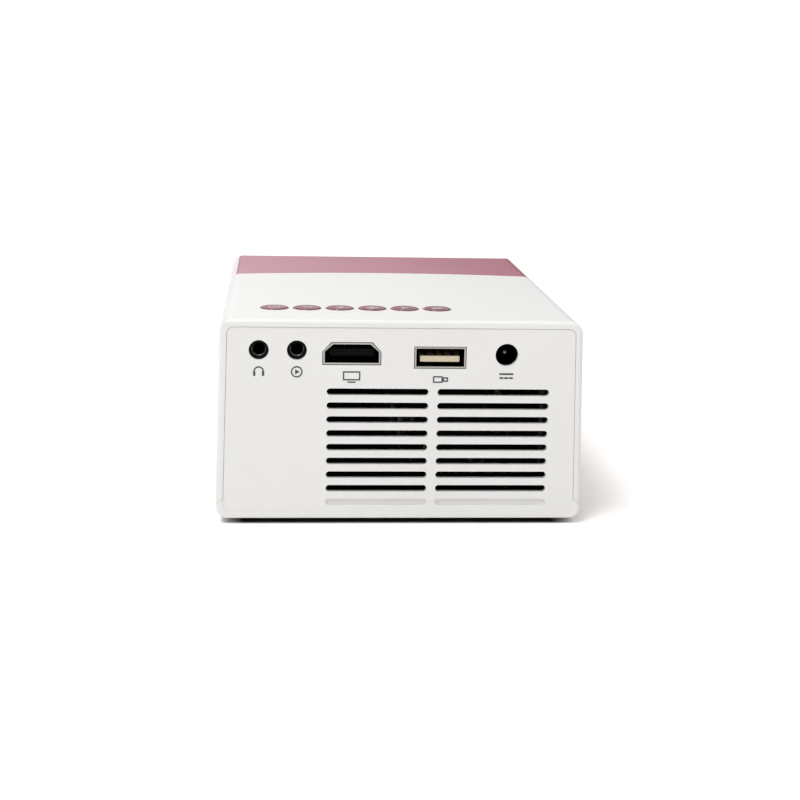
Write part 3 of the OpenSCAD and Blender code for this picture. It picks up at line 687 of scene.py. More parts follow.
def inner_space() -> tuple[Point3, Point3]:
    """Corners of the space inside the case, where its walls get a painted shade.

    Returns:
        The lowest and highest corners, in metres.
    """
    low, high = corners("top_cover")
    return (
        (low.x + WALL + DRAFT, low.y + WALL, FLOOR_TOP),
        (high.x - WALL - DRAFT, high.y - WALL, high.z - WALL),
    )


def deeper_than(depth: float) -> tuple[Point3, Point3]:
    """Corners of the space further than a depth behind the rear face, where parts get a painted
    shade.

    Args:
        depth: The depth, in metres.

    Returns:
        The lowest and highest corners, in metres.
    """
    low, high = corners("top_cover")
    return (low.x, low.y + depth, 0.0), (high.x, high.y, high.z)


@dataclass(frozen=True)
class Glass(Finish):
    """Clear or tinted glass with faint scratches, or with moulded rings.

    Attributes:
        coat_tint: Colour of the anti-reflection coat.
        groove_pitch: Pitch of moulded rings, 0 for none.
    """

    coat_tint: Color = (1.0, 1.0, 1.0)
    groove_pitch: float = 0.0

    def compose(self) -> bpy.types.Material:
        """Join the drift, the scratches and the rings to a clear shader.

        Returns:
            The material.
        """
        material, tree, surface = self.blank()
        surface.inputs["Metallic"].default_value = 0.0
        surface.inputs["Transmission Weight"].default_value = 1.0
        surface.inputs["Coat Tint"].default_value = rgba(self.coat_tint)
        drift = EFFECTS.place(
            tree, Effect.DRIFT, Color=rgba(self.color), Drift_Color=rgba(self.drift),
            Scale=GLASS_DRIFT_SCALE, Amount=1.0
        )
        tree.join(drift.outputs["Color"], surface.inputs["Base Color"])
        marks = EFFECTS.place(tree, Effect.SCRATCHES, Amount=GLASS_SCRATCHES)
        rough = tree.math(
            "ADD", self.roughness,
            tree.math("MULTIPLY", marks.outputs["Mask"], GLASS_SCRATCH_ROUGHNESS)
        )
        tree.join(rough, surface.inputs["Roughness"])
        height = marks.outputs["Height"]
        if self.groove_pitch > 0:
            turned = EFFECTS.place(
                tree, Effect.RINGS, Centre=tuple(middle("lens_barrel")), Pitch=self.groove_pitch
            )
            height = turned.outputs["Height"]
        tree.bump(height, self.relief, surface)
        return material


# White shell; its inner walls get a near-black painted shade
WHITE_SHELL = Finish(
    "white_moulded_shell", "shell_white", (0.70, 0.70, 0.69), (0.685, 0.683, 0.67),
    roughness=0.36, spread=0.05, grain=2600.0, relief=0.000006, dust=0.10,
    wear=0.12, worn=(0.78, 0.78, 0.77), painted_shade_inside=True,
)
# Rose panel; its inner face gets a near-black painted shade
ROSE_PANEL = Finish(
    "rose_gloss_panel", "rose_gloss", (0.46, 0.125, 0.19), (0.43, 0.112, 0.175),
    roughness=0.16, spread=0.03, coat=0.12, coat_roughness=0.04, grain=900.0, relief=0.0000012,
    scratches=0.06, dust=0.03, painted_shade_inside=True,
)
ROSE_KEY = Finish(
    "rose_gloss_key", "key_mauve", (0.21, 0.058, 0.082), (0.19, 0.050, 0.072),
    roughness=0.24, spread=0.04, coat=0.1, coat_roughness=0.03, grain=1500.0, relief=0.0000015,
    scratches=0.2,
)
KEY_ICON = Finish(
    "key_icon_ink", "shell_white", (0.52, 0.47, 0.48), (0.48, 0.43, 0.44), roughness=0.4,
    grain=9000.0
)
GREY_INK = Finish(
    "legend_ink", "black_plastic", (0.05, 0.05, 0.055), (0.065, 0.065, 0.07), roughness=0.5,
    grain=9000.0
)
SOCKET_BLACK = Finish(
    "dull_socket_black", "black_plastic", (0.003, 0.003, 0.003), (0.005, 0.005, 0.005),
    roughness=0.5, ior=1.15,
    grain=5000.0, relief=0.000003,
)
BLACK_PLASTIC = Finish(
    "black_moulded_plastic", "black_plastic", (0.009, 0.009, 0.010), (0.014, 0.014, 0.015),
    roughness=0.34, grain=5000.0, relief=0.000003,
)
# Socket shells; painted shade darkens them more than 0.55 mm inside the sockets
SOCKET_METAL = Finish(
    "plated_sheet_metal", "socket_metal", (0.44, 0.43, 0.42), (0.36, 0.35, 0.34), roughness=0.26,
    metallic=1.0,
    brushed=(30.0, 1.0, 30.0), relief=0.000002, wear=0.2, worn=(0.75, 0.74, 0.72),
    painted_shade_depth=0.55 * MM,
)
# Contact metal for the power pin and the contacts deep in the jacks; its dark tone is painted shade
DARK_CONTACT = Finish(
    "painted_shade_contact", "socket_metal", (0.20, 0.19, 0.18), (0.14, 0.135, 0.13), roughness=0.22,
    metallic=1.0,
    brushed=(30.0, 1.0, 30.0), relief=0.000002,
)
CONTACT_GOLD = Finish(
    "gold_contact", "socket_metal", (0.50, 0.36, 0.13), (0.40, 0.29, 0.11), roughness=0.25,
    metallic=1.0,
    brushed=(30.0, 1.0, 30.0), relief=0.000002,
)
CREAM_TONGUE = Finish(
    "cream_tongue", "contact_cream", (0.82, 0.73, 0.54), (0.77, 0.67, 0.49), roughness=0.5,
    grain=4000.0,
    relief=0.000004, dust=0.05,
)
FAN_PLASTIC = Finish(
    "glass_filled_black", "black_plastic", (0.0025, 0.0025, 0.003), (0.004, 0.004, 0.0045),
    roughness=0.65,
    ior=1.15, grain=3500.0, relief=0.000006,
)
SINK_ALUMINIUM = Finish(
    "extruded_aluminium", "sink_aluminium", (0.30, 0.30, 0.31), (0.24, 0.24, 0.25), roughness=0.42,
    metallic=1.0,
    brushed=(30.0, 30.0, 1.0), relief=0.000005, scratches=0.2,
)
WHITE_BOARD = Finish(
    "white_coated_board", "white_plastic", (0.62, 0.62, 0.60), (0.56, 0.56, 0.53), roughness=0.35,
    grain=4000.0,
)
WHITE_MOULDING = Finish(
    "white_nylon", "white_plastic", (0.60, 0.59, 0.55), (0.55, 0.54, 0.50), roughness=0.5,
    grain=3500.0,
)
PHOSPHOR = Finish(
    "yellow_phosphor", "phosphor", (0.75, 0.55, 0.06), (0.68, 0.48, 0.04), roughness=0.55,
    grain=7000.0,
    relief=0.000008,
)
BOX_PLASTIC = Finish(
    "matt_black_box", "lens_black", (0.012, 0.012, 0.013), (0.018, 0.018, 0.019), roughness=0.7,
    grain=2200.0,
    relief=0.00001,
)
RING_BLACK = Finish(
    "satin_black_ring", "lens_black", (0.010, 0.010, 0.011), (0.014, 0.014, 0.015), roughness=0.34,
    grain=4200.0,
    relief=0.00002, rings=0.9 * MM, wear=0.35, worn=(0.09, 0.09, 0.09), dust=0.05,
)
BARREL_BLACK = Finish(
    "turned_black_barrel", "lens_black", (0.012, 0.012, 0.014), (0.018, 0.018, 0.020),
    roughness=0.32,
    relief=0.00001, rings=0.45 * MM, wear=0.3, worn=(0.07, 0.07, 0.07),
)
CLEAR_GLASS = Glass(
    "clear_moulded_glass", "optical_clear", (0.97, 0.985, 0.99), (0.955, 0.98, 0.985),
    roughness=0.02, ior=1.52,
    relief=0.0000005,
)
COATED_GLASS = Glass(
    "coated_lens_glass", "optical_clear", (0.972, 0.975, 0.985), (0.962, 0.967, 0.98),
    roughness=0.01, ior=1.55,
    relief=0.0000004, coat=0.25, coat_roughness=0.01, coat_tint=(0.80, 0.76, 0.96),
)
GROOVED_SHEET = Glass(
    "grooved_acrylic", "optical_clear", (0.96, 0.97, 0.975), (0.95, 0.96, 0.965), roughness=0.06,
    ior=1.49,
    relief=0.00006, groove_pitch=0.4 * MM,
)
HEAT_GLASS = Glass(
    "heat_absorbing_glass", "heat_glass", (0.72, 0.90, 0.86), (0.69, 0.88, 0.84), roughness=0.03,
    ior=1.51,
    relief=0.0000005,
)
PICTURE_PANEL = Finish(
    "picture_panel_glass", "lcd_dark", (0.020, 0.024, 0.032), (0.028, 0.032, 0.042), roughness=0.14,
    spread=0.03,
    coat=0.5, grain=9000.0, relief=0.000001,
)
FLEX_FILM = Finish(
    "amber_film", "flex_amber", (0.42, 0.17, 0.025), (0.36, 0.14, 0.02), roughness=0.28, coat=0.3,
    brushed=(30.0, 30.0, 1.0), relief=0.00001,
)
BOARD_GREEN = Finish(
    "green_solder_mask", "board_green", (0.012, 0.085, 0.038), (0.010, 0.070, 0.032), roughness=0.3,
    coat=0.3,
    grain=6000.0, traces=True,
)
CHIP_RESIN = Finish(
    "chip_resin", "black_plastic", (0.014, 0.014, 0.015), (0.020, 0.020, 0.021), roughness=0.62,
    grain=7000.0,
    relief=0.000006,
)
CAN_SLEEVE = Finish(
    "capacitor_sleeve", "capacitor_can", (0.20, 0.21, 0.24), (0.16, 0.17, 0.20), roughness=0.34,
    grain=3000.0, coat=0.2,
)
SPEAKER_STEEL = Finish(
    "zinc_plated_basket", "speaker_steel", (0.30, 0.30, 0.32), (0.22, 0.22, 0.24), roughness=0.38,
    metallic=1.0,
    brushed=(1.0, 20.0, 20.0), relief=0.000004, scratches=0.3,
)
SPEAKER_PAPER = Finish(
    "doped_paper", "speaker_paper", (0.018, 0.018, 0.019), (0.028, 0.027, 0.027), roughness=0.75,
    grain=1500.0,
    relief=0.00003, sheen=0.2,
)
RUBBER = Finish(
    "moulded_rubber", "rubber", (0.016, 0.016, 0.016), (0.024, 0.024, 0.024), roughness=0.8,
    grain=2500.0,
    relief=0.00001, sheen=0.3, dust=0.1,
)
SCREW_STEEL = Finish(
    "zinc_plated_screw", "screw_steel", (0.52, 0.52, 0.53), (0.40, 0.40, 0.41), roughness=0.3,
    metallic=1.0,
    relief=0.000004, grain=5000.0, wear=0.5, worn=(0.72, 0.72, 0.72), scratches=0.3,
)
BRASS = Finish(
    "machined_brass", "brass", (0.62, 0.42, 0.13), (0.52, 0.34, 0.10), roughness=0.26, metallic=1.0,
    relief=0.000003, brushed=(20.0, 20.0, 1.0), wear=0.3, worn=(0.78, 0.58, 0.25),
)
# Black lead; painted shade darkens it more than 1 mm behind the rear face
LEAD_BLACK = Finish(
    "black_wire_sleeve", "lead_black", (0.010, 0.010, 0.010), (0.015, 0.015, 0.015), roughness=0.4,
    grain=6000.0,
    painted_shade_depth=0.001,
)
LEAD_YELLOW = Finish(
    "yellow_wire_sleeve", "lead_yellow", (0.60, 0.43, 0.03), (0.54, 0.38, 0.03), roughness=0.4,
    grain=6000.0,
)
LEAD_BLUE = Finish(
    "blue_wire_sleeve", "lead_blue", (0.025, 0.04, 0.38), (0.02, 0.035, 0.32), roughness=0.4,
    grain=6000.0,
)
WHITE_INK = Finish(
    "white_index_ink", "shell_white", (0.72, 0.71, 0.70), (0.66, 0.65, 0.64), roughness=0.45,
    grain=9000.0
)


# ---------------------------------------------------------------------------
# Mesh helpers
# ---------------------------------------------------------------------------


def new_piece(
    name: str, mesh: bmesh.types.BMesh, finish: Finish, body: str, smooth: float = 35.0
) -> bpy.types.Object:
    """Turn a bmesh into a piece that rides on a body.

    Args:
        name: Name of the piece.
        mesh: Its shape, freed here.
        finish: Its finish.
        body: The body that it rides on.
        smooth: Edges flatter than this angle are shaded smooth, in degrees.

    Returns:
        The new object.
    """
    bmesh.ops.recalc_face_normals(mesh, faces=mesh.faces)
    data = bpy.data.meshes.new(name)
    limit = math.radians(smooth)
    for edge in mesh.edges:
        if len(edge.link_faces) == 2:
            edge.smooth = edge.calc_face_angle(0.0) < limit
    for face in mesh.faces:
        face.smooth = True
    mesh.to_mesh(data)
    mesh.free()
    piece = bpy.data.objects.new(name, data)
    bpy.context.scene.collection.objects.link(piece)
    data.materials.append(finish.build())
    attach(piece, body)
    return piece


def dress(node: str, finish: Finish) -> bpy.types.Object:
    """Give a CAD node its material.

    Args:
        node: Name of the node.
        finish: Its finish.

    Returns:
        The node's object.
    """
    part = frame["nodes"][node]
    material = finish.build()
    if not part.material_slots:
        part.data.materials.append(material)
    for entry in part.material_slots:
        entry.material = material
    return part


def lathe(
    mesh: bmesh.types.BMesh, outline: Sequence[Point2], centre: Vector, axis: str, steps: int = 64
) -> None:
    """Turn an outline around an axis and add it to a mesh.

    Args:
        mesh: The mesh to add to.
        outline: Points as (radius, distance along the axis), closed where both ends are at
            radius 0.
        centre: A point on the axis.
        axis: "X", "Y" or "Z".
        steps: Number of steps around.
    """
    rows: list[list[bmesh.types.BMVert]] = []
    for radius, along in outline:
        row = []
        for i in range(steps if radius > 0 else 1):
            angle = 2 * math.pi * i / steps
            side, lift = radius * math.cos(angle), radius * math.sin(angle)
            offset = {
                "X": Vector((along, side, lift)), "Y": Vector((side, along, lift)),
                "Z": Vector((side, lift, along)),
            }[axis]
            row.append(mesh.verts.new(centre + offset))
        rows.append(row)
    for first, second in zip(rows, rows[1:]):
        for i in range(steps):
            j = (i + 1) % steps
            loop = [
                first[i % len(first)], first[j % len(first)], second[j % len(second)],
                second[i % len(second)]
            ]
            unique = list(dict.fromkeys(loop))
            if len(unique) >= 3:
                mesh.faces.new(unique)


@dataclass(frozen=True)
class Plane:
    """A flat face that legends lie on.

    Attributes:
        origin: Point that the drawing is centred on.
        right: Direction of the drawing's x.
        up: Direction of the drawing's y.
    """

    origin: Vector
    right: Vector
    up: Vector

    def point(self, x: float, y: float, lift: float) -> Vector:
        """A point of the drawing in space, lifted off the face.

        Args:
            x: Distance to the right.
            y: Distance up.
            lift: Distance off the face.

        Returns:
            The point.
        """
        return self.origin + self.right * x + self.up * y + self.right.cross(self.up) * lift


@dataclass
class Drawing:
    """A simple drawing of strokes and filled shapes, raised a little off a face.

    Attributes:
        plane: The face.
        lift: Height of the ink, in metres.
        mesh: The mesh that is built up.
    """

    plane: Plane
    lift: float = 0.03 * MM
    mesh: bmesh.types.BMesh = field(default_factory=bmesh.new)
    layers: int = 0

    def fill(self, outline: Sequence[Point2]) -> None:
        """Add a filled outline as a thin plate.

        Args:
            outline: Its points in order, in metres.
        """
        top = self.lift + self.layers * 0.002 * MM
        self.layers += 1
        upper = [self.mesh.verts.new(self.plane.point(x, y, top)) for x, y in outline]
        lower = [self.mesh.verts.new(self.plane.point(x, y, -0.02 * MM)) for x, y in outline]
        self.mesh.faces.new(upper)
        self.mesh.faces.new(list(reversed(lower)))
        for i in range(len(outline)):
            j = (i + 1) % len(outline)
            self.mesh.faces.new([lower[i], lower[j], upper[j], upper[i]])

    def bar(self, start: Point2, end: Point2, width: float) -> None:
        """Add a straight stroke with round ends.

        Args:
            start: Its start.
            end: Its end.
            width: Its width.
        """
        heading = math.atan2(end[1] - start[1], end[0] - start[0])
        steps = 8
        outline = []
        for centre, turn in ((end, -math.pi / 2), (start, math.pi / 2)):
            for i in range(steps + 1):
                angle = heading + turn + math.pi * i / steps
                outline.append(
                    (
                        centre[0] + math.cos(angle) * width / 2,
                        centre[1] + math.sin(angle) * width / 2
                    )
                )
        self.fill(outline)

    def arc(self, centre: Point2, radius: float, start: float, end: float, width: float) -> None:
        """Add a curved stroke.

        Args:
            centre: Centre of the arc.
            radius: Its middle radius.
            start: Start angle, in degrees.
            end: End angle, in degrees.
            width: Its width.
        """
        steps = max(6, int(abs(end - start) / 8))
        outer, inner = [], []
        for i in range(steps + 1):
            angle = math.radians(start + (end - start) * i / steps)
            ca, sa = math.cos(angle), math.sin(angle)
            outer.append(
                (centre[0] + ca * (radius + width / 2), centre[1] + sa * (radius + width / 2))
            )
            inner.append(
                (centre[0] + ca * (radius - width / 2), centre[1] + sa * (radius - width / 2))
            )
        full = abs(end - start) >= 359.9
        if not full:
            self.fill(outer + inner[::-1])
            return
        half = steps // 2
        self.fill(outer[: half + 1] + inner[half::-1])
        self.fill(outer[half:] + inner[: half - 1 : -1])

    def frame(self, centre: Point2, width: float, height: float, stroke: float) -> None:
        """Add an outlined rectangle.

        Args:
            centre: Its centre.
            width: Its outer width.
            height: Its outer height.
            stroke: Width of its line.
        """
        x, y = (width - stroke) / 2, (height - stroke) / 2
        spots = [
            (centre[0] + sx * x, centre[1] + sy * y)
            for sx, sy in ((-1, -1), (1, -1), (1, 1), (-1, 1))
        ]
        for start, end in zip(spots, spots[1:] + spots[:1]):
            self.bar(start, end, stroke)

    def finish(self, name: str, look: Finish, body: str) -> bpy.types.Object:
        """Turn the drawing into a piece.

        Args:
            name: Name of the piece.
            look: Its finish.
            body: The body that it rides on.

        Returns:
            The piece.
        """
        return new_piece(name, self.mesh, look, body, smooth=20.0)


# ---------------------------------------------------------------------------
# Sub-assemblies
# ---------------------------------------------------------------------------


@dataclass
class CaseShells:
    """The two white case parts and the rose front panel."""

    def build(self) -> None:
        """Dress the three shells."""
        for node, look in (
            ("top_cover", WHITE_SHELL), ("bottom_shell", WHITE_SHELL), ("front_panel", ROSE_PANEL)
        ):
            dress(node, look)
            LOG.info("dressed %s", node)


class Glyph(Enum):
    """Generic pictograms for sockets and keys."""

    HEADPHONES = "headphones"
    PLAY_RING = "play_ring"
    SCREEN = "screen"
    MEMORY_STICK = "memory_stick"
    DIRECT_CURRENT = "direct_current"
    POWER = "power"
    BACK = "back"
    LEFT = "left"
    CONFIRM = "confirm"
    RIGHT = "right"
    MENU = "menu"


def draw_glyph(art: Drawing, glyph: Glyph, size: float) -> None:
    """Draw one pictogram.

    Args:
        art: The drawing.
        glyph: Which pictogram.
        size: Its height, in metres.
    """
    s = size / 2
    w = size * 0.12
    if glyph is Glyph.HEADPHONES:
        art.arc((0, 0), s * 0.8, 0, 180, w)
        for side in (-1, 1):
            art.fill(
                [
                    (side * s * x, s * y)
                    for x, y in ((0.95, 0.1), (0.95, -0.75), (0.55, -0.75), (0.55, 0.1))
                ][::side]
            )
    elif glyph is Glyph.PLAY_RING:
        art.arc((0, 0), s * 0.88, 0, 360, w)
        art.fill([(-s * 0.28, -s * 0.45), (s * 0.5, 0), (-s * 0.28, s * 0.45)])
    elif glyph is Glyph.SCREEN:
        art.frame((0, s * 0.15), s * 3.0, s * 1.6, w)
        art.bar((-s * 0.6, -s * 0.95), (s * 0.6, -s * 0.95), w)
    elif glyph is Glyph.MEMORY_STICK:
        art.frame((-s * 0.35, 0), s * 1.7, s * 1.2, w)
        art.frame((s * 0.95, 0), s * 0.95, s * 0.8, w)
    elif glyph is Glyph.DIRECT_CURRENT:
        art.bar((-s * 1.1, s * 0.35), (s * 1.1, s * 0.35), w * 1.3)
        for i in (-1, 0, 1):
            art.bar(
                (i * s * 0.82 - s * 0.22, -s * 0.35), (i * s * 0.82 + s * 0.22, -s * 0.35), w * 1.3
            )
    elif glyph is Glyph.POWER:
        art.arc((0, -s * 0.05), s * 0.75, 125, 415, w)
        art.bar((0, s * 0.15), (0, s * 0.95), w)
    elif glyph in (Glyph.LEFT, Glyph.RIGHT):
        side = -1 if glyph is Glyph.LEFT else 1
        art.fill(
            [(side * s * x, s * y) for x, y in ((-0.45, -0.7), (0.7, 0), (-0.45, 0.7))][::side]
        )
    elif glyph is Glyph.CONFIRM:
        art.arc((0, 0), s * 0.7, 0, 360, w)
        art.arc((0, 0), s * 0.2, 0, 360, s * 0.38)
    elif glyph is Glyph.BACK:
        art.arc((0, -s * 0.1), s * 0.6, -120, 120, w)
        art.bar((-s * 0.6, s * 0.42), (-s * 0.1, s * 0.42), w)
        art.fill([(-s * 0.85, s * 0.42), (-s * 0.3, s * 0.1), (-s * 0.3, s * 0.78)])
    elif glyph is Glyph.MENU:
        for i in (-1, 0, 1):
            art.bar((-s * 0.65, i * s * 0.5), (s * 0.65, i * s * 0.5), w)


@dataclass
class SocketLegends:
    """Pictograms under the sockets, in place of words.

    Attributes:
        height: Height of a pictogram.
        recess: How far the rear wall lies behind its rim.
        drop: Distance of its middle below each socket's middle.
    """

    height: float = 3.0 * MM
    recess: float = 0.12 * MM
    drop: dict[str, float] = field(default_factory=lambda: {
        "audio_port": 5.6 * MM, "av_port": 5.6 * MM, "video_port": 6.0 * MM, "data_port": 5.7 * MM,
        "power_port": 5.5 * MM,
    })

    def build(self) -> None:
        """Draw the five pictograms on the rear wall."""
        marks = {
            "audio_port": Glyph.HEADPHONES,
            "av_port": Glyph.PLAY_RING,
            "video_port": Glyph.SCREEN,
            "data_port": Glyph.MEMORY_STICK,
            "power_port": Glyph.DIRECT_CURRENT,
        }
        wall_y = corners("bottom_shell")[0].y + self.recess
        for port, glyph in marks.items():
            spot = mount(port)
            plane = Plane(
                Vector((spot.x, wall_y, spot.z - self.drop[port])), Vector((1, 0, 0)),
                Vector((0, 0, 1))
            )
            art = Drawing(plane)
            draw_glyph(art, glyph, self.height)
            art.finish(f"legend_{glyph.value}", GREY_INK, "root")
            LOG.info("drew the legend of %s", port)


@dataclass
class KeyRow:
    """The six keys on top: dished caps with inlaid icons.

    Attributes:
        dish: Depth of the dish in a cap.
        lip: Radius of the rounded rim.
        icon: Height of an icon.
        steps: Steps around a cap.
    """

    dish: float = 0.16 * MM
    lip: float = 0.35 * MM
    icon: float = 3.6 * MM
    steps: int = 96

    def outline(self, radius: float, low: float, high: float, flange: float) -> list[Point2]:
        """Half section of a cap.

        Args:
            radius: Radius of the cap.
            low: Height of its underside.
            high: Height of its rim.
            flange: Radius of the flange.

        Returns:
            Points as (radius, height).
        """
        points = [(0.0, low), (flange, low), (flange, low + 0.6 * MM), (radius, low + 0.6 * MM)]
        for i in range(7):
            angle = math.pi / 2 * i / 6
            points.append(
                (
                    radius - self.lip + self.lip * math.cos(angle),
                    high - self.lip + self.lip * math.sin(angle)
                )
            )
        inner = radius - self.lip
        for i in range(1, 7):
            share = i / 6
            points.append((inner * (1 - share), high - self.dish * math.sin(share * math.pi / 2)))
        return points

    def build(self) -> None:
        """Make the six caps and their icons."""
        glyphs = [Glyph.POWER, Glyph.BACK, Glyph.LEFT, Glyph.CONFIRM, Glyph.RIGHT, Glyph.MENU]
        for number, glyph in enumerate(glyphs, start=1):
            node = f"button_{number}"
            body = f"key_{number}"
            low, high = corners(node)
            centre = (low + high) / 2
            flange = (high.x - low.x) / 2
            radius = flange - 0.55 * MM
            shape = bmesh.new()
            lathe(
                shape, self.outline(radius, low.z, high.z, flange), Vector((centre.x, centre.y, 0)),
                "Z", self.steps
            )
            cap = new_piece(f"key_cap_{number}", shape, ROSE_KEY, body)
            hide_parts(node)
            plane = Plane(
                Vector((centre.x, centre.y, high.z - self.dish * 0.9)), Vector((1, 0, 0)),
                Vector((0, 1, 0))
            )
            art = Drawing(plane, lift=0.09 * MM)
            draw_glyph(art, glyph, self.icon)
            art.finish(f"key_icon_{number}", KEY_ICON, body)
            LOG.info("built key %d", number)


# ---------------------------------------------------------------------------
# Mesh shapes used by several sub-assemblies
# ---------------------------------------------------------------------------


def tile(mesh: bmesh.types.BMesh, rows: Sequence[Sequence[Vector]], caps: bool = True) -> None:
    """Skin a row of closed loops into a solid.

    Args:
        mesh: The mesh to add to.
        rows: Loops with the same number of points.
        caps: Whether the two ends are closed.
    """
    loops = [[mesh.verts.new(point) for point in row] for row in rows]
    count = len(loops[0])
    for first, second in zip(loops, loops[1:]):
        for i in range(count):
            j = (i + 1) % count
            mesh.faces.new([first[i], first[j], second[j], second[i]])
    if caps:
        mesh.faces.new(loops[0][::-1])
        mesh.faces.new(loops[-1])


def chamfered_box(mesh: bmesh.types.BMesh, low: Vector, high: Vector, cut: float) -> None:
    """Add a box whose edges are all chamfered.

    Args:
        mesh: The mesh to add to.
        low: Its lowest corner.
        high: Its highest corner.
        cut: Width of the chamfer, in metres.
    """
    def loop(inset: float, z: float) -> list[Vector]:
        """One loop around the box at a height."""
        x0, x1, y0, y1 = low.x + inset, high.x - inset, low.y + inset, high.y - inset
        return [
            Vector((x0 + cut, y0, z)), Vector((x1 - cut, y0, z)), Vector((x1, y0 + cut, z)),
            Vector((x1, y1 - cut, z)),
            Vector((x1 - cut, y1, z)), Vector((x0 + cut, y1, z)), Vector((x0, y1 - cut, z)),
            Vector((x0, y0 + cut, z)),
        ]

    tile(mesh, [loop(cut, low.z), loop(0, low.z + cut), loop(0, high.z - cut), loop(cut, high.z)])


def leaf(
    mesh: bmesh.types.BMesh, path: Sequence[Vector], side: Vector, width: float, thickness: float
) -> None:
    """Add a bent strip of sheet metal.

    Args:
        mesh: The mesh to add to.
        path: Points along its middle line.
        side: Unit vector across its width.
        width: Its width.
        thickness: Its thickness.
    """
    rows = []
    for i, point in enumerate(path):
        ahead = (path[min(i + 1, len(path) - 1)] - path[max(i - 1, 0)]).normalized()
        up = ahead.cross(side).normalized() * thickness / 2
        out = side * width / 2
        rows.append([point - out - up, point + out - up, point + out + up, point - out + up])
    tile(mesh, rows)


def arch(start: Vector, end: Vector, rise: Vector, steps: int = 10) -> list[Vector]:
    """Points along a shallow arch.

    Args:
        start: First point.
        end: Last point.
        rise: How far the middle stands away from the straight line.
        steps: Number of steps.

    Returns:
        The points.
    """
    return [
        start.lerp(end, i / steps) + rise * math.sin(math.pi * i / steps) for i in range(steps + 1)
    ]


# ---------------------------------------------------------------------------
# Sub-assemblies behind the walls
# ---------------------------------------------------------------------------


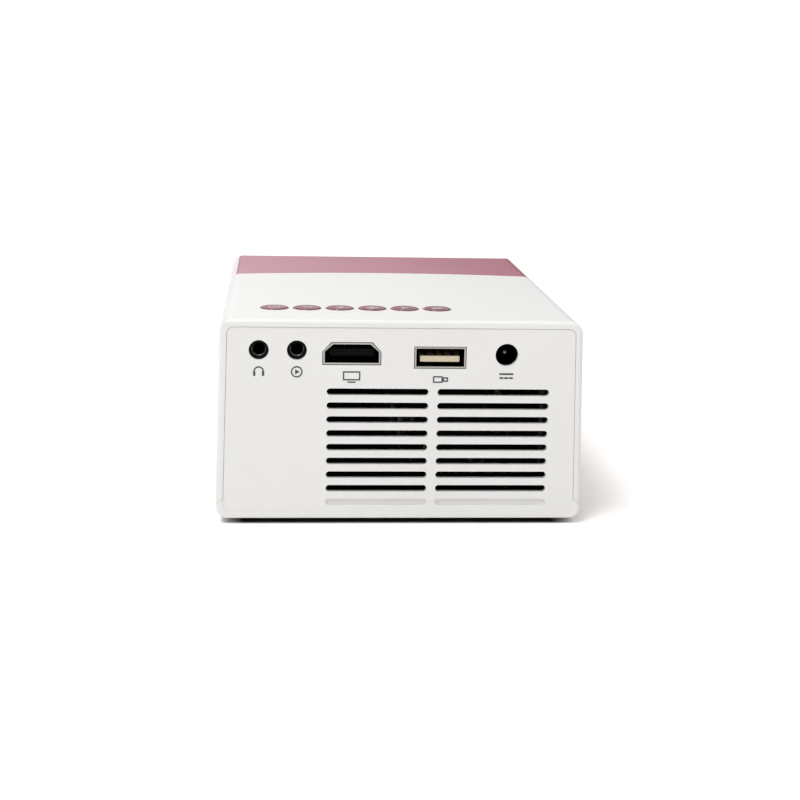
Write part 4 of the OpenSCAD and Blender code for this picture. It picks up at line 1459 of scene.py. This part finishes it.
@dataclass
class SocketFittings:
    """Contacts, springs and the power pin inside the sockets.

    Attributes:
        strip: Thickness of a contact strip.
        data_contacts: Places of the data contacts across the tongue.
        video_pitch: Distance between the video contacts.
        video_count: Number of contacts on top of the video tongue.
    """

    strip: float = 0.12 * MM
    data_contacts: tuple[float, ...] = (-3.5 * MM, -1.0 * MM, 1.0 * MM, 3.5 * MM)
    video_pitch: float = 1.0 * MM
    video_count: int = 10

    def build(self) -> None:
        """Dress the sockets and fit their metal parts."""
        for node in ("video_socket_shell", "data_socket_shell"):
            dress(node, SOCKET_METAL)
        for node in ("audio_jack", "av_jack", "power_jack", "video_socket_tongue"):
            dress(node, SOCKET_BLACK)
        dress("data_socket_tongue", CREAM_TONGUE)
        self.tongue_contacts("data", "data_socket_tongue", self.data_contacts, 0.9 * MM)
        half = (self.video_count - 1) / 2
        spots = tuple((i - half) * self.video_pitch for i in range(self.video_count))
        self.tongue_contacts("video", "video_socket_tongue", spots, 0.42 * MM)
        self.shell_springs("data", "data_socket_shell", 3.1 * MM, 1.7 * MM)
        self.shell_springs("video", "video_socket_shell", 2.7 * MM, 1.5 * MM)
        for port, node in (("audio", "audio_jack"), ("av", "av_jack")):
            self.jack_contacts(port, node)
        self.power_pin()
        LOG.info("fitted the sockets")

    def tongue_contacts(self, port: str, node: str, spots: Sequence[float], width: float) -> None:
        """Lay contact strips on a tongue.

        Args:
            port: Name of the socket.
            node: The tongue's node.
            spots: Places of the strips across the tongue.
            width: Width of a strip.
        """
        low, high = corners(node)
        centre_x = (low.x + high.x) / 2
        shape = bmesh.new()
        for spot in spots:
            x = centre_x + spot
            path = [
                Vector((x, low.y + 0.7 * MM, high.z + 0.01 * MM)),
                Vector((x, low.y + 1.1 * MM, high.z + 0.05 * MM))
            ]
            path += [Vector((x, high.y - 0.3 * MM, high.z + 0.05 * MM))]
            leaf(shape, path, Vector((1, 0, 0)), width, self.strip)
        new_piece(f"{port}_socket_contacts", shape, CONTACT_GOLD, "root")

    def shell_springs(self, port: str, node: str, spread: float, width: float) -> None:
        """Fit two leaf springs under the roof of a shell.

        Args:
            port: Name of the socket.
            node: The shell's node.
            spread: Distance of each spring from the middle.
            width: Width of a spring.
        """
        low, high = corners(node)
        centre_x = (low.x + high.x) / 2
        roof = high.z - 0.5 * MM
        shape = bmesh.new()
        for side in (-1, 1):
            x = centre_x + side * spread
            start, end = Vector((x, low.y + 1.3 * MM, roof)), Vector((x, low.y + 7.5 * MM, roof))
            leaf(
                shape, arch(start, end, Vector((0, 0, -0.4 * MM))), Vector((1, 0, 0)), width,
                self.strip
            )
        new_piece(f"{port}_socket_springs", shape, SOCKET_METAL, "root")

    def jack_contacts(self, port: str, node: str) -> None:
        """Fit the ring contact and the spring of a round jack.

        Args:
            port: Name of the jack.
            node: The jack's node.
        """
        spot = mount(f"{port}_port")
        front = corners(node)[0].y
        bore = 1.79 * MM
        shape = bmesh.new()
        ring = [
            (bore, 1.2 * MM), (bore, 2.0 * MM), (bore - 0.16 * MM, 1.9 * MM),
            (bore - 0.16 * MM, 1.3 * MM)
        ]
        lathe(shape, ring + ring[:1], Vector((spot.x, front, spot.z)), "Y", 48)
        start = Vector((spot.x - bore * 0.9, front + 4 * MM, spot.z))
        end = start + Vector((0, 4 * MM, 0))
        leaf(
            shape, arch(start, end, Vector((0.9 * MM, 0, 0))), Vector((0, 0, 1)), 1.1 * MM,
            self.strip
        )
        new_piece(f"{port}_jack_contacts", shape, DARK_CONTACT, "root")

    def power_pin(self) -> None:
        """Turn the power pin with its domed tip, and fit the side spring."""
        low, high = corners("power_jack_pin")
        centre = (low + high) / 2
        radius = (high.x - low.x) / 2
        length = high.y - low.y
        dome = radius * 0.9
        outline = [(0.0, 0.0)]
        for i in range(1, 9):
            angle = math.pi / 2 * i / 8
            outline.append((radius * math.sin(angle), dome * (1 - math.cos(angle))))
        outline += [(radius, length), (0.0, length)]
        shape = bmesh.new()
        lathe(shape, outline, Vector((centre.x, low.y, centre.z)), "Y", 48)
        pin = new_piece("power_pin", shape, DARK_CONTACT, "root")
        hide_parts("power_jack_pin")
        spring = bmesh.new()
        floor = centre.z - 2.7 * MM
        start, end = Vector((centre.x, low.y, floor)), Vector((centre.x, high.y - 0.5 * MM, floor))
        leaf(
            spring, arch(start, end, Vector((0, 0, 0.7 * MM))), Vector((1, 0, 0)), 1.6 * MM,
            self.strip
        )
        new_piece("power_jack_spring", spring, DARK_CONTACT, "root")


@dataclass
class CoolingFan:
    """The fan's frame, and its rotor with curved blades.

    Attributes:
        blades: Number of blades.
        root_pitch: Slope of a blade at the hub, in degrees.
        tip_pitch: Slope of a blade at its tip, in degrees.
        sweep: How far the tip trails the root, in degrees.
        camber: Bow of a blade's section, as a share of its width.
        thickness: Thickness of a blade at its middle.
    """

    blades: int = 7
    root_pitch: float = 50.0
    tip_pitch: float = 33.0
    sweep: float = 14.0
    camber: float = 0.09
    thickness: float = 0.8 * MM

    def build(self) -> None:
        """Dress the frame and make the rotor."""
        dress("fan_frame", FAN_PLASTIC)
        self.rotor()
        dress("heat_sink", SINK_ALUMINIUM)
        LOG.info("built the fan")

    def section(
        self, radius: float, share: float, middle_y: float, half_depth: float
    ) -> list[Vector]:
        """Section of a blade around its edge, at a radius.

        Args:
            radius: Distance from the axis.
            share: 0 at the root, 1 at the tip.
            middle_y: Middle of the blade along the axis.
            half_depth: Half of the blade's depth along the axis.

        Returns:
            The points of the section, relative to the axis.
        """
        pitch = math.radians(self.root_pitch + (self.tip_pitch - self.root_pitch) * share)
        half_chord = half_depth / math.sin(pitch)
        steps = 8
        upper, lower = [], []
        for i in range(steps + 1):
            t = i / steps * 2 - 1
            bow = (1 - t * t) * self.camber * 2 * half_chord
            half_t = self.thickness / 2 * (0.25 + 0.75 * math.sqrt(max(0.0, 1 - t * t)))
            for rim, off in ((upper, half_t), (lower, -half_t)):
                rim.append((t * half_chord, bow + off))
        points = []
        for along, off in upper + lower[::-1]:
            axial = along * math.sin(pitch) - off * math.cos(pitch)
            around = along * math.cos(pitch) + off * math.sin(pitch)
            angle = around / radius + math.radians(self.sweep) * share
            points.append(
                Vector((radius * math.cos(angle), middle_y + axial, radius * math.sin(angle)))
            )
        return points

    def rotor(self) -> None:
        """Make the hub cup and the blades as one moulding."""
        low, high = corners("fan_rotor")
        # A box around seven blades isn't centred on their axis: this is 0.069 mm to its side
        centre = (low + high) / 2
        tip = (high.x - low.x) / 2 - 0.15 * MM
        hub = 9.5 * MM
        depth = high.y - low.y
        shape = bmesh.new()
        edge = 0.9 * MM
        boss, step = 4.2 * MM, 0.12 * MM
        wall, roof = 1.3 * MM, 1.4 * MM
        shaft, gap = 1.0 * MM, 0.3 * MM
        outline = [(0.0, 0.0), (boss, 0.0), (boss, step), (hub - edge, step)]
        for i in range(1, 7):
            angle = math.pi / 2 * i / 6
            outline.append(
                (hub - edge + edge * math.sin(angle), step + edge * (1 - math.cos(angle)))
            )
        outline += [(hub, depth), (hub - wall, depth), (hub - wall, roof), (shaft, roof)]
        outline += [(shaft, depth - gap), (0.0, depth - gap)]
        lathe(shape, outline, Vector((centre.x, low.y, centre.z)), "Y", 72)
        rows = 7
        for blade in range(self.blades):
            turn = Matrix.Rotation(2 * math.pi * blade / self.blades, 4, "Y")
            loops = []
            for i in range(rows + 1):
                share = i / rows
                radius = hub - gap + (tip - hub + gap) * share
                loop = self.section(radius, share, 0.0, depth * 0.4)
                loops.append(
                    [turn @ point + Vector((centre.x, centre.y, centre.z)) for point in loop]
                )
            tile(shape, loops)
        rotor = new_piece("fan_impeller", shape, FAN_PLASTIC, "rotor", smooth=40.0)
        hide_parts("fan_rotor")


@dataclass
class LightPath:
    """Light source, light box, lens barrel and focus ring.

    Attributes:
        notch: Width of the two key slots in the retaining ring.
        mark_gap: Distance of the index dot from the focus ring.
    """

    notch: float = 2.4 * MM
    mark_gap: float = 2.4 * MM

    def build(self) -> None:
        """Dress the light path and make its detailed pieces."""
        looks = {
            "led_board": WHITE_BOARD, "led_emitter": PHOSPHOR, "condenser_lens": CLEAR_GLASS,
            "condenser_holder": WHITE_MOULDING, "optics_case": BOX_PLASTIC,
            "optics_lid": BOX_PLASTIC,
            "rear_fresnel_lens": GROOVED_SHEET, "heat_glass": HEAT_GLASS,
            "lcd_panel": PICTURE_PANEL,
            "lcd_flex": FLEX_FILM, "front_fresnel_lens": GROOVED_SHEET, "lens_tube": BOX_PLASTIC,
            "focus_ring": RING_BLACK, "lens_barrel": BARREL_BLACK,
            "lens_element_rear": COATED_GLASS,
            "lens_element_middle": COATED_GLASS, "lens_element_front": COATED_GLASS,
        }
        for node, look in looks.items():
            dress(node, look)
            LOG.info("dressed %s", node)
        self.retaining_ring()
        self.focus_marks()

    def retaining_ring(self) -> None:
        """Make the threaded ring with its two key slots."""
        low, high = corners("lens_retaining_ring")
        centre = (low + high) / 2
        outer = (high.x - low.x) / 2
        depth = high.y - low.y
        steps, slots = 144, 2
        shape = bmesh.new()
        rows = []
        for i in range(steps):
            angle = 2 * math.pi * i / steps
            nearest = min(abs((angle - math.pi * k) % (2 * math.pi)) for k in range(slots))
            nearest = min(nearest, 2 * math.pi - nearest)
            cut = 0.7 * MM if nearest * outer < self.notch / 2 else 0.0
            face = depth - cut
            section = [
                (outer, 0.0), (outer, face - 0.25 * MM), (outer - 0.25 * MM, face),
                (outer - 0.8 * MM, face),
                (outer - 1.5 * MM, face - 0.35 * MM), (outer - 2.2 * MM, face - 0.7 * MM),
                (outer - 2.5 * MM, 0.0),
            ]
            rows.append([
                Vector((centre.x + r * math.cos(angle), low.y + y, centre.z + r * math.sin(angle)))
                for r, y in section
            ])
        rows.append(rows[0])
        tile(shape, rows, caps=False)
        bmesh.ops.remove_doubles(shape, verts=shape.verts, dist=0.000001)
        ring = new_piece("lens_lock_ring", shape, BARREL_BLACK, "barrel", smooth=25.0)
        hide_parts("lens_retaining_ring")

    def focus_marks(self) -> None:
        """Print the index dot on the panel above the focus ring."""
        low, high = corners("focus_ring")
        centre = (low + high) / 2
        radius = (high.x - low.x) / 2
        right, up = Vector((-1, 0, 0)), Vector((0, 0, 1))
        front = corners("front_panel")[1].y
        spot = Plane(Vector((centre.x, front, centre.z + radius + self.mark_gap)), right, up)
        dot = Drawing(spot, lift=0.03 * MM)
        dot.arc((0, 0), 0.25 * MM, 0, 360, 0.48 * MM)
        dot.finish("focus_index_dot", WHITE_INK, "root")


@dataclass
class Speaker:
    """Basket, and a cone with its surround and dust cap.

    Attributes:
        roll: Height of the half-round surround.
    """

    roll: float = 0.45 * MM

    def build(self) -> None:
        """Dress the basket and turn the cone."""
        dress("speaker_frame", SPEAKER_STEEL)
        low, high = corners("speaker_cone")
        centre = (low + high) / 2
        outer = (high.z - low.z) / 2
        base = low.x + 0.32 * MM
        inner = outer - 3.0 * MM
        face = [(0.0, -0.25 * MM)]
        for i in range(1, 7):
            angle = math.pi / 2 * i / 6
            face.append((4.2 * MM * math.sin(angle), 1.0 * MM - 1.25 * MM * math.cos(angle)))
        face += [(inner * (0.5 + 0.5 * i / 4), (1.2 - 1.1 * i / 4) * MM) for i in range(1, 5)]
        for i in range(1, 9):
            angle = math.pi * i / 8
            middle_r = (inner + outer - 0.4 * MM) / 2
            half = (outer - 0.4 * MM - inner) / 2
            face.append((middle_r - half * math.cos(angle), 0.1 * MM - self.roll * math.sin(angle)))
        face.append((outer, 0.1 * MM))
        back = [(r, x + 0.22 * MM) for r, x in face[::-1]]
        outline = [(r, max(x, low.x - base + 0.01 * MM)) for r, x in face] + back
        shape = bmesh.new()
        lathe(shape, outline, Vector((base, centre.y, centre.z)), "X", 72)
        cone = new_piece("speaker_diaphragm", shape, SPEAKER_PAPER, "root")
        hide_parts("speaker_cone")
        LOG.info("built the speaker")


@dataclass
class Electronics:
    """Main board with its chips, capacitors, connectors and leads.

    Attributes:
        leg_pitch: Distance between the legs of a chip.
        leg_width: Width of a leg.
        plug: Size of a lead's plug.
    """

    leg_pitch: float = 1.0 * MM
    leg_width: float = 0.35 * MM
    plug: Point3 = (5.0 * MM, 3.6 * MM, 2.2 * MM)

    def build(self) -> None:
        """Dress the board and fit its small parts."""
        looks = {
            "main_board": BOARD_GREEN, "board_chips": CHIP_RESIN, "board_capacitors": CAN_SLEEVE,
            "remote_receiver": BLACK_PLASTIC, "key_switches": SOCKET_METAL, "fan_lead": LEAD_BLACK,
            "led_lead": LEAD_YELLOW, "speaker_lead": LEAD_BLUE,
        }
        for node, look in looks.items():
            dress(node, look)
        for number in range(1, 7):
            dress(f"switch_plunger_{number}", BLACK_PLASTIC)
        self.chip_legs()
        self.can_tops()
        self.plugs()
        LOG.info("fitted the main board")

    def islands(self, node: str) -> list[tuple[Vector, Vector]]:
        """Boxes of the separate solids of a node.

        Args:
            node: Name of the node.

        Returns:
            The lowest and highest corner of each.
        """
        shape = bmesh.new()
        shape.from_mesh(frame["nodes"][node].data)
        bmesh.ops.remove_doubles(shape, verts=shape.verts, dist=0.000002)
        left = set(shape.verts)
        found = []
        while left:
            grown, edge = set(), [min(left, key=lambda v: tuple(v.co))]
            while edge:
                vert = edge.pop()
                if vert in grown:
                    continue
                grown.add(vert)
                edge += [link.other_vert(vert) for link in vert.link_edges]
            left -= grown
            spots = [vert.co for vert in grown]
            found.append((
                Vector([min(p[k] for p in spots) for k in range(3)]),
                Vector([max(p[k] for p in spots) for k in range(3)]),
            ))
        shape.free()
        return found

    def chip_legs(self) -> None:
        """Fit gull-wing legs along two sides of each chip."""
        shape = bmesh.new()
        for low, high in self.islands("board_chips"):
            count = max(2, int((high.y - low.y - self.leg_pitch) / self.leg_pitch))
            start = (low.y + high.y) / 2 - (count - 1) * self.leg_pitch / 2
            for side, x in ((-1, low.x), (1, high.x)):
                for i in range(count):
                    y = start + i * self.leg_pitch
                    steps = ((-0.1, -0.75), (0.25, -0.75), (0.45, -0.1), (0.85, -0.08))
                    path = [Vector((x + side * dx * MM, y, high.z + dz * MM)) for dx, dz in steps]
                    leaf(shape, path, Vector((0, 1, 0)), self.leg_width, 0.12 * MM)
        new_piece("chip_legs", shape, SOCKET_METAL, "root")

    def can_tops(self) -> None:
        """Put the bare metal top with its scored cross on each capacitor."""
        shape = bmesh.new()
        for low, high in self.islands("board_capacitors"):
            centre = (low + high) / 2
            radius = (high.x - low.x) / 2
            rim = 0.35 * MM
            outline = [
                (0.0, -0.06 * MM), (radius - 1.0 * MM, -0.06 * MM), (radius - rim, -0.1 * MM)
            ]
            outline += [
                (radius - 0.1 * MM, -0.02 * MM), (radius - 0.1 * MM, 0.1 * MM), (0.0, 0.1 * MM)
            ]
            lathe(shape, outline, Vector((centre.x, centre.y, low.z)), "Z", 48)
            for turn in (0.0, math.pi / 2):
                along = Vector((math.cos(turn), math.sin(turn), 0)) * radius * 0.6
                across = Vector((-math.sin(turn), math.cos(turn), 0))
                middle_point = Vector((centre.x, centre.y, low.z - 0.07 * MM))
                leaf(
                    shape, [middle_point - along, middle_point + along], across, 0.2 * MM, 0.05 * MM
                )
        new_piece("capacitor_tops", shape, SINK_ALUMINIUM, "root")

    def plugs(self) -> None:
        """Fit a white plug where each lead meets the board."""
        under = corners("main_board")[0].z
        for lead in ("fan", "led", "speaker"):
            points = [v.co for v in frame["nodes"][f"{lead}_lead"].data.vertices]
            top = max(points, key=lambda p: p.z)
            near = [p for p in points if p.z > top.z - 0.8 * MM]
            spot = sum(near, Vector()) / len(near)
            size = Vector(self.plug)
            low = Vector((spot.x - size.x / 2, spot.y - size.y / 2, under - size.z))
            shape = bmesh.new()
            chamfered_box(shape, low, low + size, 0.2 * MM)
            for i in (-1, 0, 1):
                rib = Vector(
                    (spot.x + i * 1.3 * MM - 0.25 * MM, low.y - 0.15 * MM, low.z + 0.3 * MM)
                )
                chamfered_box(
                    shape, rib, rib + Vector((0.5 * MM, 0.3 * MM, size.z - 0.5 * MM)), 0.05 * MM
                )
            new_piece(f"{lead}_lead_plug", shape, WHITE_MOULDING, "root")


@dataclass
class Underside:
    """Rubber feet, screws and the threaded tripod insert.

    Attributes:
        groove: Depth of the rings in a foot.
        pitch: Pitch of the tripod thread.
        turn_steps: Steps around the thread.
    """

    groove: float = 0.15 * MM
    pitch: float = 1.27 * MM
    turn_steps: int = 48

    def build(self) -> None:
        """Make the feet and the insert, and dress the screws."""
        for node in ("case_screws", "board_screws", "lid_screws"):
            dress(node, SCREW_STEEL)
        self.feet()
        self.insert()
        LOG.info("built the underside")

    def feet(self) -> None:
        """Mould the four feet with a rounded rim and two rings."""
        low, high = corners("rubber_feet")
        radius = 5.0 * MM
        height = high.z - low.z
        edge = 0.35 * MM
        g = self.groove
        outline = [
            (0.0, g), (1.2 * MM, g), (1.5 * MM, 0.0), (2.3 * MM, 0.0), (2.5 * MM, g), (2.9 * MM, g),
            (3.1 * MM, 0.0)
        ]
        for i in range(7):
            angle = math.pi / 2 * i / 6
            outline.append((radius - edge + edge * math.sin(angle), edge * (1 - math.cos(angle))))
        outline += [(radius, height), (0.0, height)]
        shape = bmesh.new()
        for x in (low.x + radius, high.x - radius):
            for y in (low.y + radius, high.y - radius):
                lathe(shape, outline, Vector((x, y, low.z)), "Z", 64)
        feet = new_piece("moulded_feet", shape, RUBBER, "root")
        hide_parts("rubber_feet")

    def insert(self) -> None:
        """Cut the thread of the tripod insert."""
        low, high = corners("tripod_insert")
        centre = (low + high) / 2
        outer = (high.x - low.x) / 2
        crest, root = 2.55 * MM, 3.05 * MM
        floor = high.z - 0.65 * MM
        rows_per_turn = 12
        count = int((floor - low.z) / self.pitch * rows_per_turn)
        loops = []

        def circle(radius: float, z: float) -> list[Vector]:
            """A plain loop."""
            return [
                Vector((centre.x + radius * math.cos(a), centre.y + radius * math.sin(a), z))
                for a in (2 * math.pi * i / self.turn_steps for i in range(self.turn_steps))
            ]

        loops.append(circle(root + 0.25 * MM, low.z))
        for row in range(count + 1):
            z = low.z + 0.2 * MM + (floor - low.z - 0.2 * MM) * row / count
            loop = []
            for i in range(self.turn_steps):
                angle = 2 * math.pi * i / self.turn_steps
                phase = ((z - low.z) / self.pitch - i / self.turn_steps) % 1.0
                radius = crest + (root - crest) * (1 - abs(2 * phase - 1))
                loop.append(
                    Vector(
                        (
                            centre.x + radius * math.cos(angle),
                            centre.y + radius * math.sin(angle), z
                        )
                    )
                )
            loops.append(loop)
        loops.append(circle(0.3 * MM, floor))
        outside = [
            circle(0.3 * MM, high.z), circle(outer - 0.2 * MM, high.z),
            circle(outer, high.z - 0.2 * MM)
        ]
        outside += [circle(outer, low.z + 0.2 * MM), circle(outer - 0.2 * MM, low.z)]
        shape = bmesh.new()
        tile(shape, [loops[-1], *outside, *loops[:-1], loops[-1]], caps=False)
        bmesh.ops.remove_doubles(shape, verts=shape.verts, dist=0.000001)
        insert = new_piece("threaded_insert", shape, BRASS, "root", smooth=30.0)
        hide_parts("tripod_insert")


@dataclass
class Studio:
    """Floor, lights and camera.

    Attributes:
        camera_offset: Camera from the middle of the rear face's foot line, in millimetres.
        pitch: Downward tilt, in degrees.
        yaw: Turn to the right, in degrees.
        roll: Roll of the picture, in degrees.
        lens: Focal length on a 36 mm sensor.
        floor_size: Side of the floor, in metres.
        horizon: Strength of the surrounding light at the horizon.
        zenith: Strength of the surrounding light from above.
        wash_left: Factor on the low light ahead of the projector, at its left.
        wash_right: The same factor at its right.
    """

    camera_offset: Point3 = (-31.5, -399.8, 122.1)
    pitch: float = 12.49
    yaw: float = 4.45
    roll: float = 1.24
    lens: float = 71.7
    floor_size: float = 30.0
    horizon: float = 0.1
    zenith: float = 0.88
    wash_left: float = 4.2
    wash_right: float = 1.5

    def build(self) -> None:
        """Make the whole studio."""
        self.make_camera()
        self.make_floor()
        self.make_world()
        self.make_lights()

    def make_camera(self) -> None:
        """Stand the camera behind the projector."""
        data = bpy.data.cameras.new("camera")
        data.lens = self.lens
        data.sensor_width = 36.0
        data.clip_start = 0.01
        data.clip_end = 100.0
        camera = bpy.data.objects.new("camera", data)
        bpy.context.scene.collection.objects.link(camera)
        rear_y = corners("bottom_shell")[0].y
        place = Vector(self.camera_offset) * MM + Vector((0, rear_y, 0))
        turn = (
            Matrix.Rotation(math.radians(-self.yaw), 4, "Z")
            @ Matrix.Rotation(math.radians(-self.pitch), 4, "X")
            @ Matrix.Rotation(math.radians(-self.roll), 4, "Y")
            @ Matrix.Rotation(math.radians(90.0), 4, "X")
        )
        camera.matrix_world = Matrix.Translation(place) @ turn
        bpy.context.scene.camera = camera
        LOG.info("placed the camera")

    def make_floor(self) -> None:
        """Lay a plain pale floor, with a painted shadow where the case stands on it and a painted
        glow further out.
        """
        shape = bmesh.new()
        half = self.floor_size / 2
        shape.faces.new(
            [
                shape.verts.new((x * half, y * half, 0.0))
                for x, y in ((-1, -1), (1, -1), (1, 1), (-1, 1))
            ]
        )
        data = bpy.data.meshes.new("floor")
        shape.to_mesh(data)
        shape.free()
        floor = bpy.data.objects.new("floor", data)
        bpy.context.scene.collection.objects.link(floor)
        material = bpy.data.materials.new("pale_floor")
        material.use_nodes = True
        surface = next(n for n in material.node_tree.nodes if n.type == "BSDF_PRINCIPLED")
        surface.inputs["Roughness"].default_value = 0.9
        surface.inputs["Specular IOR Level"].default_value = 0.1
        tree = Tree(material.node_tree)
        low, high = corners("bottom_shell")
        at = tree.add("ShaderNodeTexCoord").outputs["Object"]
        split = tree.add("ShaderNodeSeparateXYZ")
        tree.join(at, split.inputs[0])
        # Painted shadow: the floor turns near black under the case's footprint
        across = tree.remap(
            tree.math("ABSOLUTE", split.outputs["X"], 0.0), high.x - MM, high.x - 7 * MM
        )
        behind = tree.remap(split.outputs["Y"], low.y + 0.1 * MM, low.y + 2.2 * MM)
        ahead = tree.remap(split.outputs["Y"], high.y - MM, high.y - 6 * MM)
        shade = tree.math("MULTIPLY", across, tree.math("MULTIPLY", behind, ahead))
        color = tree.mix(shade, (0.985, 0.965, 0.955), (0.03, 0.028, 0.026))
        tree.join(color, surface.inputs["Base Color"])
        # Painted light: the floor glows more the further it lies from the middle, up to 0.45 beyond
        # 1.2 m
        reach = tree.add("ShaderNodeVectorMath", operation="LENGTH")
        tree.join(at, reach.inputs[0])
        glow = tree.mix(
            tree.remap(reach.outputs["Value"], 0.25, 1.2), (0.0, 0.0, 0.0), (0.45, 0.45, 0.45)
        )
        tree.join(glow, surface.inputs["Emission Color"])
        surface.inputs["Emission Strength"].default_value = 1.0
        data.materials.append(material)

    def make_world(self) -> None:
        """Pale light that grows towards the zenith, with a wash low down ahead of the projector."""
        world = bpy.data.worlds.new("studio")
        world.use_nodes = True
        tree = Tree(world.node_tree)
        background = next(n for n in world.node_tree.nodes if n.type == "BACKGROUND")
        background.inputs["Color"].default_value = (1.0, 0.995, 0.99, 1.0)
        split = tree.add("ShaderNodeSeparateXYZ")
        tree.join(tree.add("ShaderNodeTexCoord").outputs["Generated"], split.inputs[0])
        sky = tree.remap(split.outputs["Z"], 0.1, 0.6, self.horizon, self.zenith)
        ahead = tree.remap(split.outputs["Y"], 0.3, 0.85)
        low = tree.remap(split.outputs["Z"], 0.5, 0.15)
        side = tree.remap(
            split.outputs["X"], -0.05, 0.16, self.wash_left - 1.0, self.wash_right - 1.0
        )
        wash = tree.math("MULTIPLY", tree.math("MULTIPLY", ahead, low), side)
        lit = tree.math("MULTIPLY", sky, tree.math("ADD", 1.0, wash))
        path = tree.add("ShaderNodeLightPath")
        seen = tree.remap(path.outputs["Is Camera Ray"], 0.0, 1.0, 0.0, 1.1)
        tree.join(tree.math("MAXIMUM", lit, seen), background.inputs["Strength"])
        bpy.context.scene.world = world
        bpy.context.scene.view_settings.view_transform = "Standard"

    def make_lights(self) -> None:
        """Hang one large soft box overhead, a little to the left."""
        self.soft_box("key_light", (-0.38, -0.46, 1.12), 0.5, 10.3)

    def soft_box(self, name: str, place: Point3, size: float, power: float) -> None:
        """Hang one soft box that faces the projector.

        Args:
            name: Name of the light.
            place: Its position, in metres.
            size: Its side, in metres.
            power: Its power, in watts.
        """
        data = bpy.data.lights.new(name, "AREA")
        data.shape = "SQUARE"
        data.size = size
        data.energy = power
        light = bpy.data.objects.new(name, data)
        light.location = place
        aim = Vector((0.0, 0.0, 0.03)) - Vector(place)
        light.rotation_euler = aim.to_track_quat("-Z", "Y").to_euler()
        bpy.context.scene.collection.objects.link(light)


# ---------------------------------------------------------------------------
# The whole projector
# ---------------------------------------------------------------------------


def main() -> None:
    """Build every sub-assembly in order."""
    logging.basicConfig(level=logging.INFO, format="%(message)s")
    Studio().build()
    CaseShells().build()
    SocketLegends().build()
    KeyRow().build()
    SocketFittings().build()
    CoolingFan().build()
    LightPath().build()
    Speaker().build()
    Electronics().build()
    Underside().build()


if __name__ == "__main__":
    main()
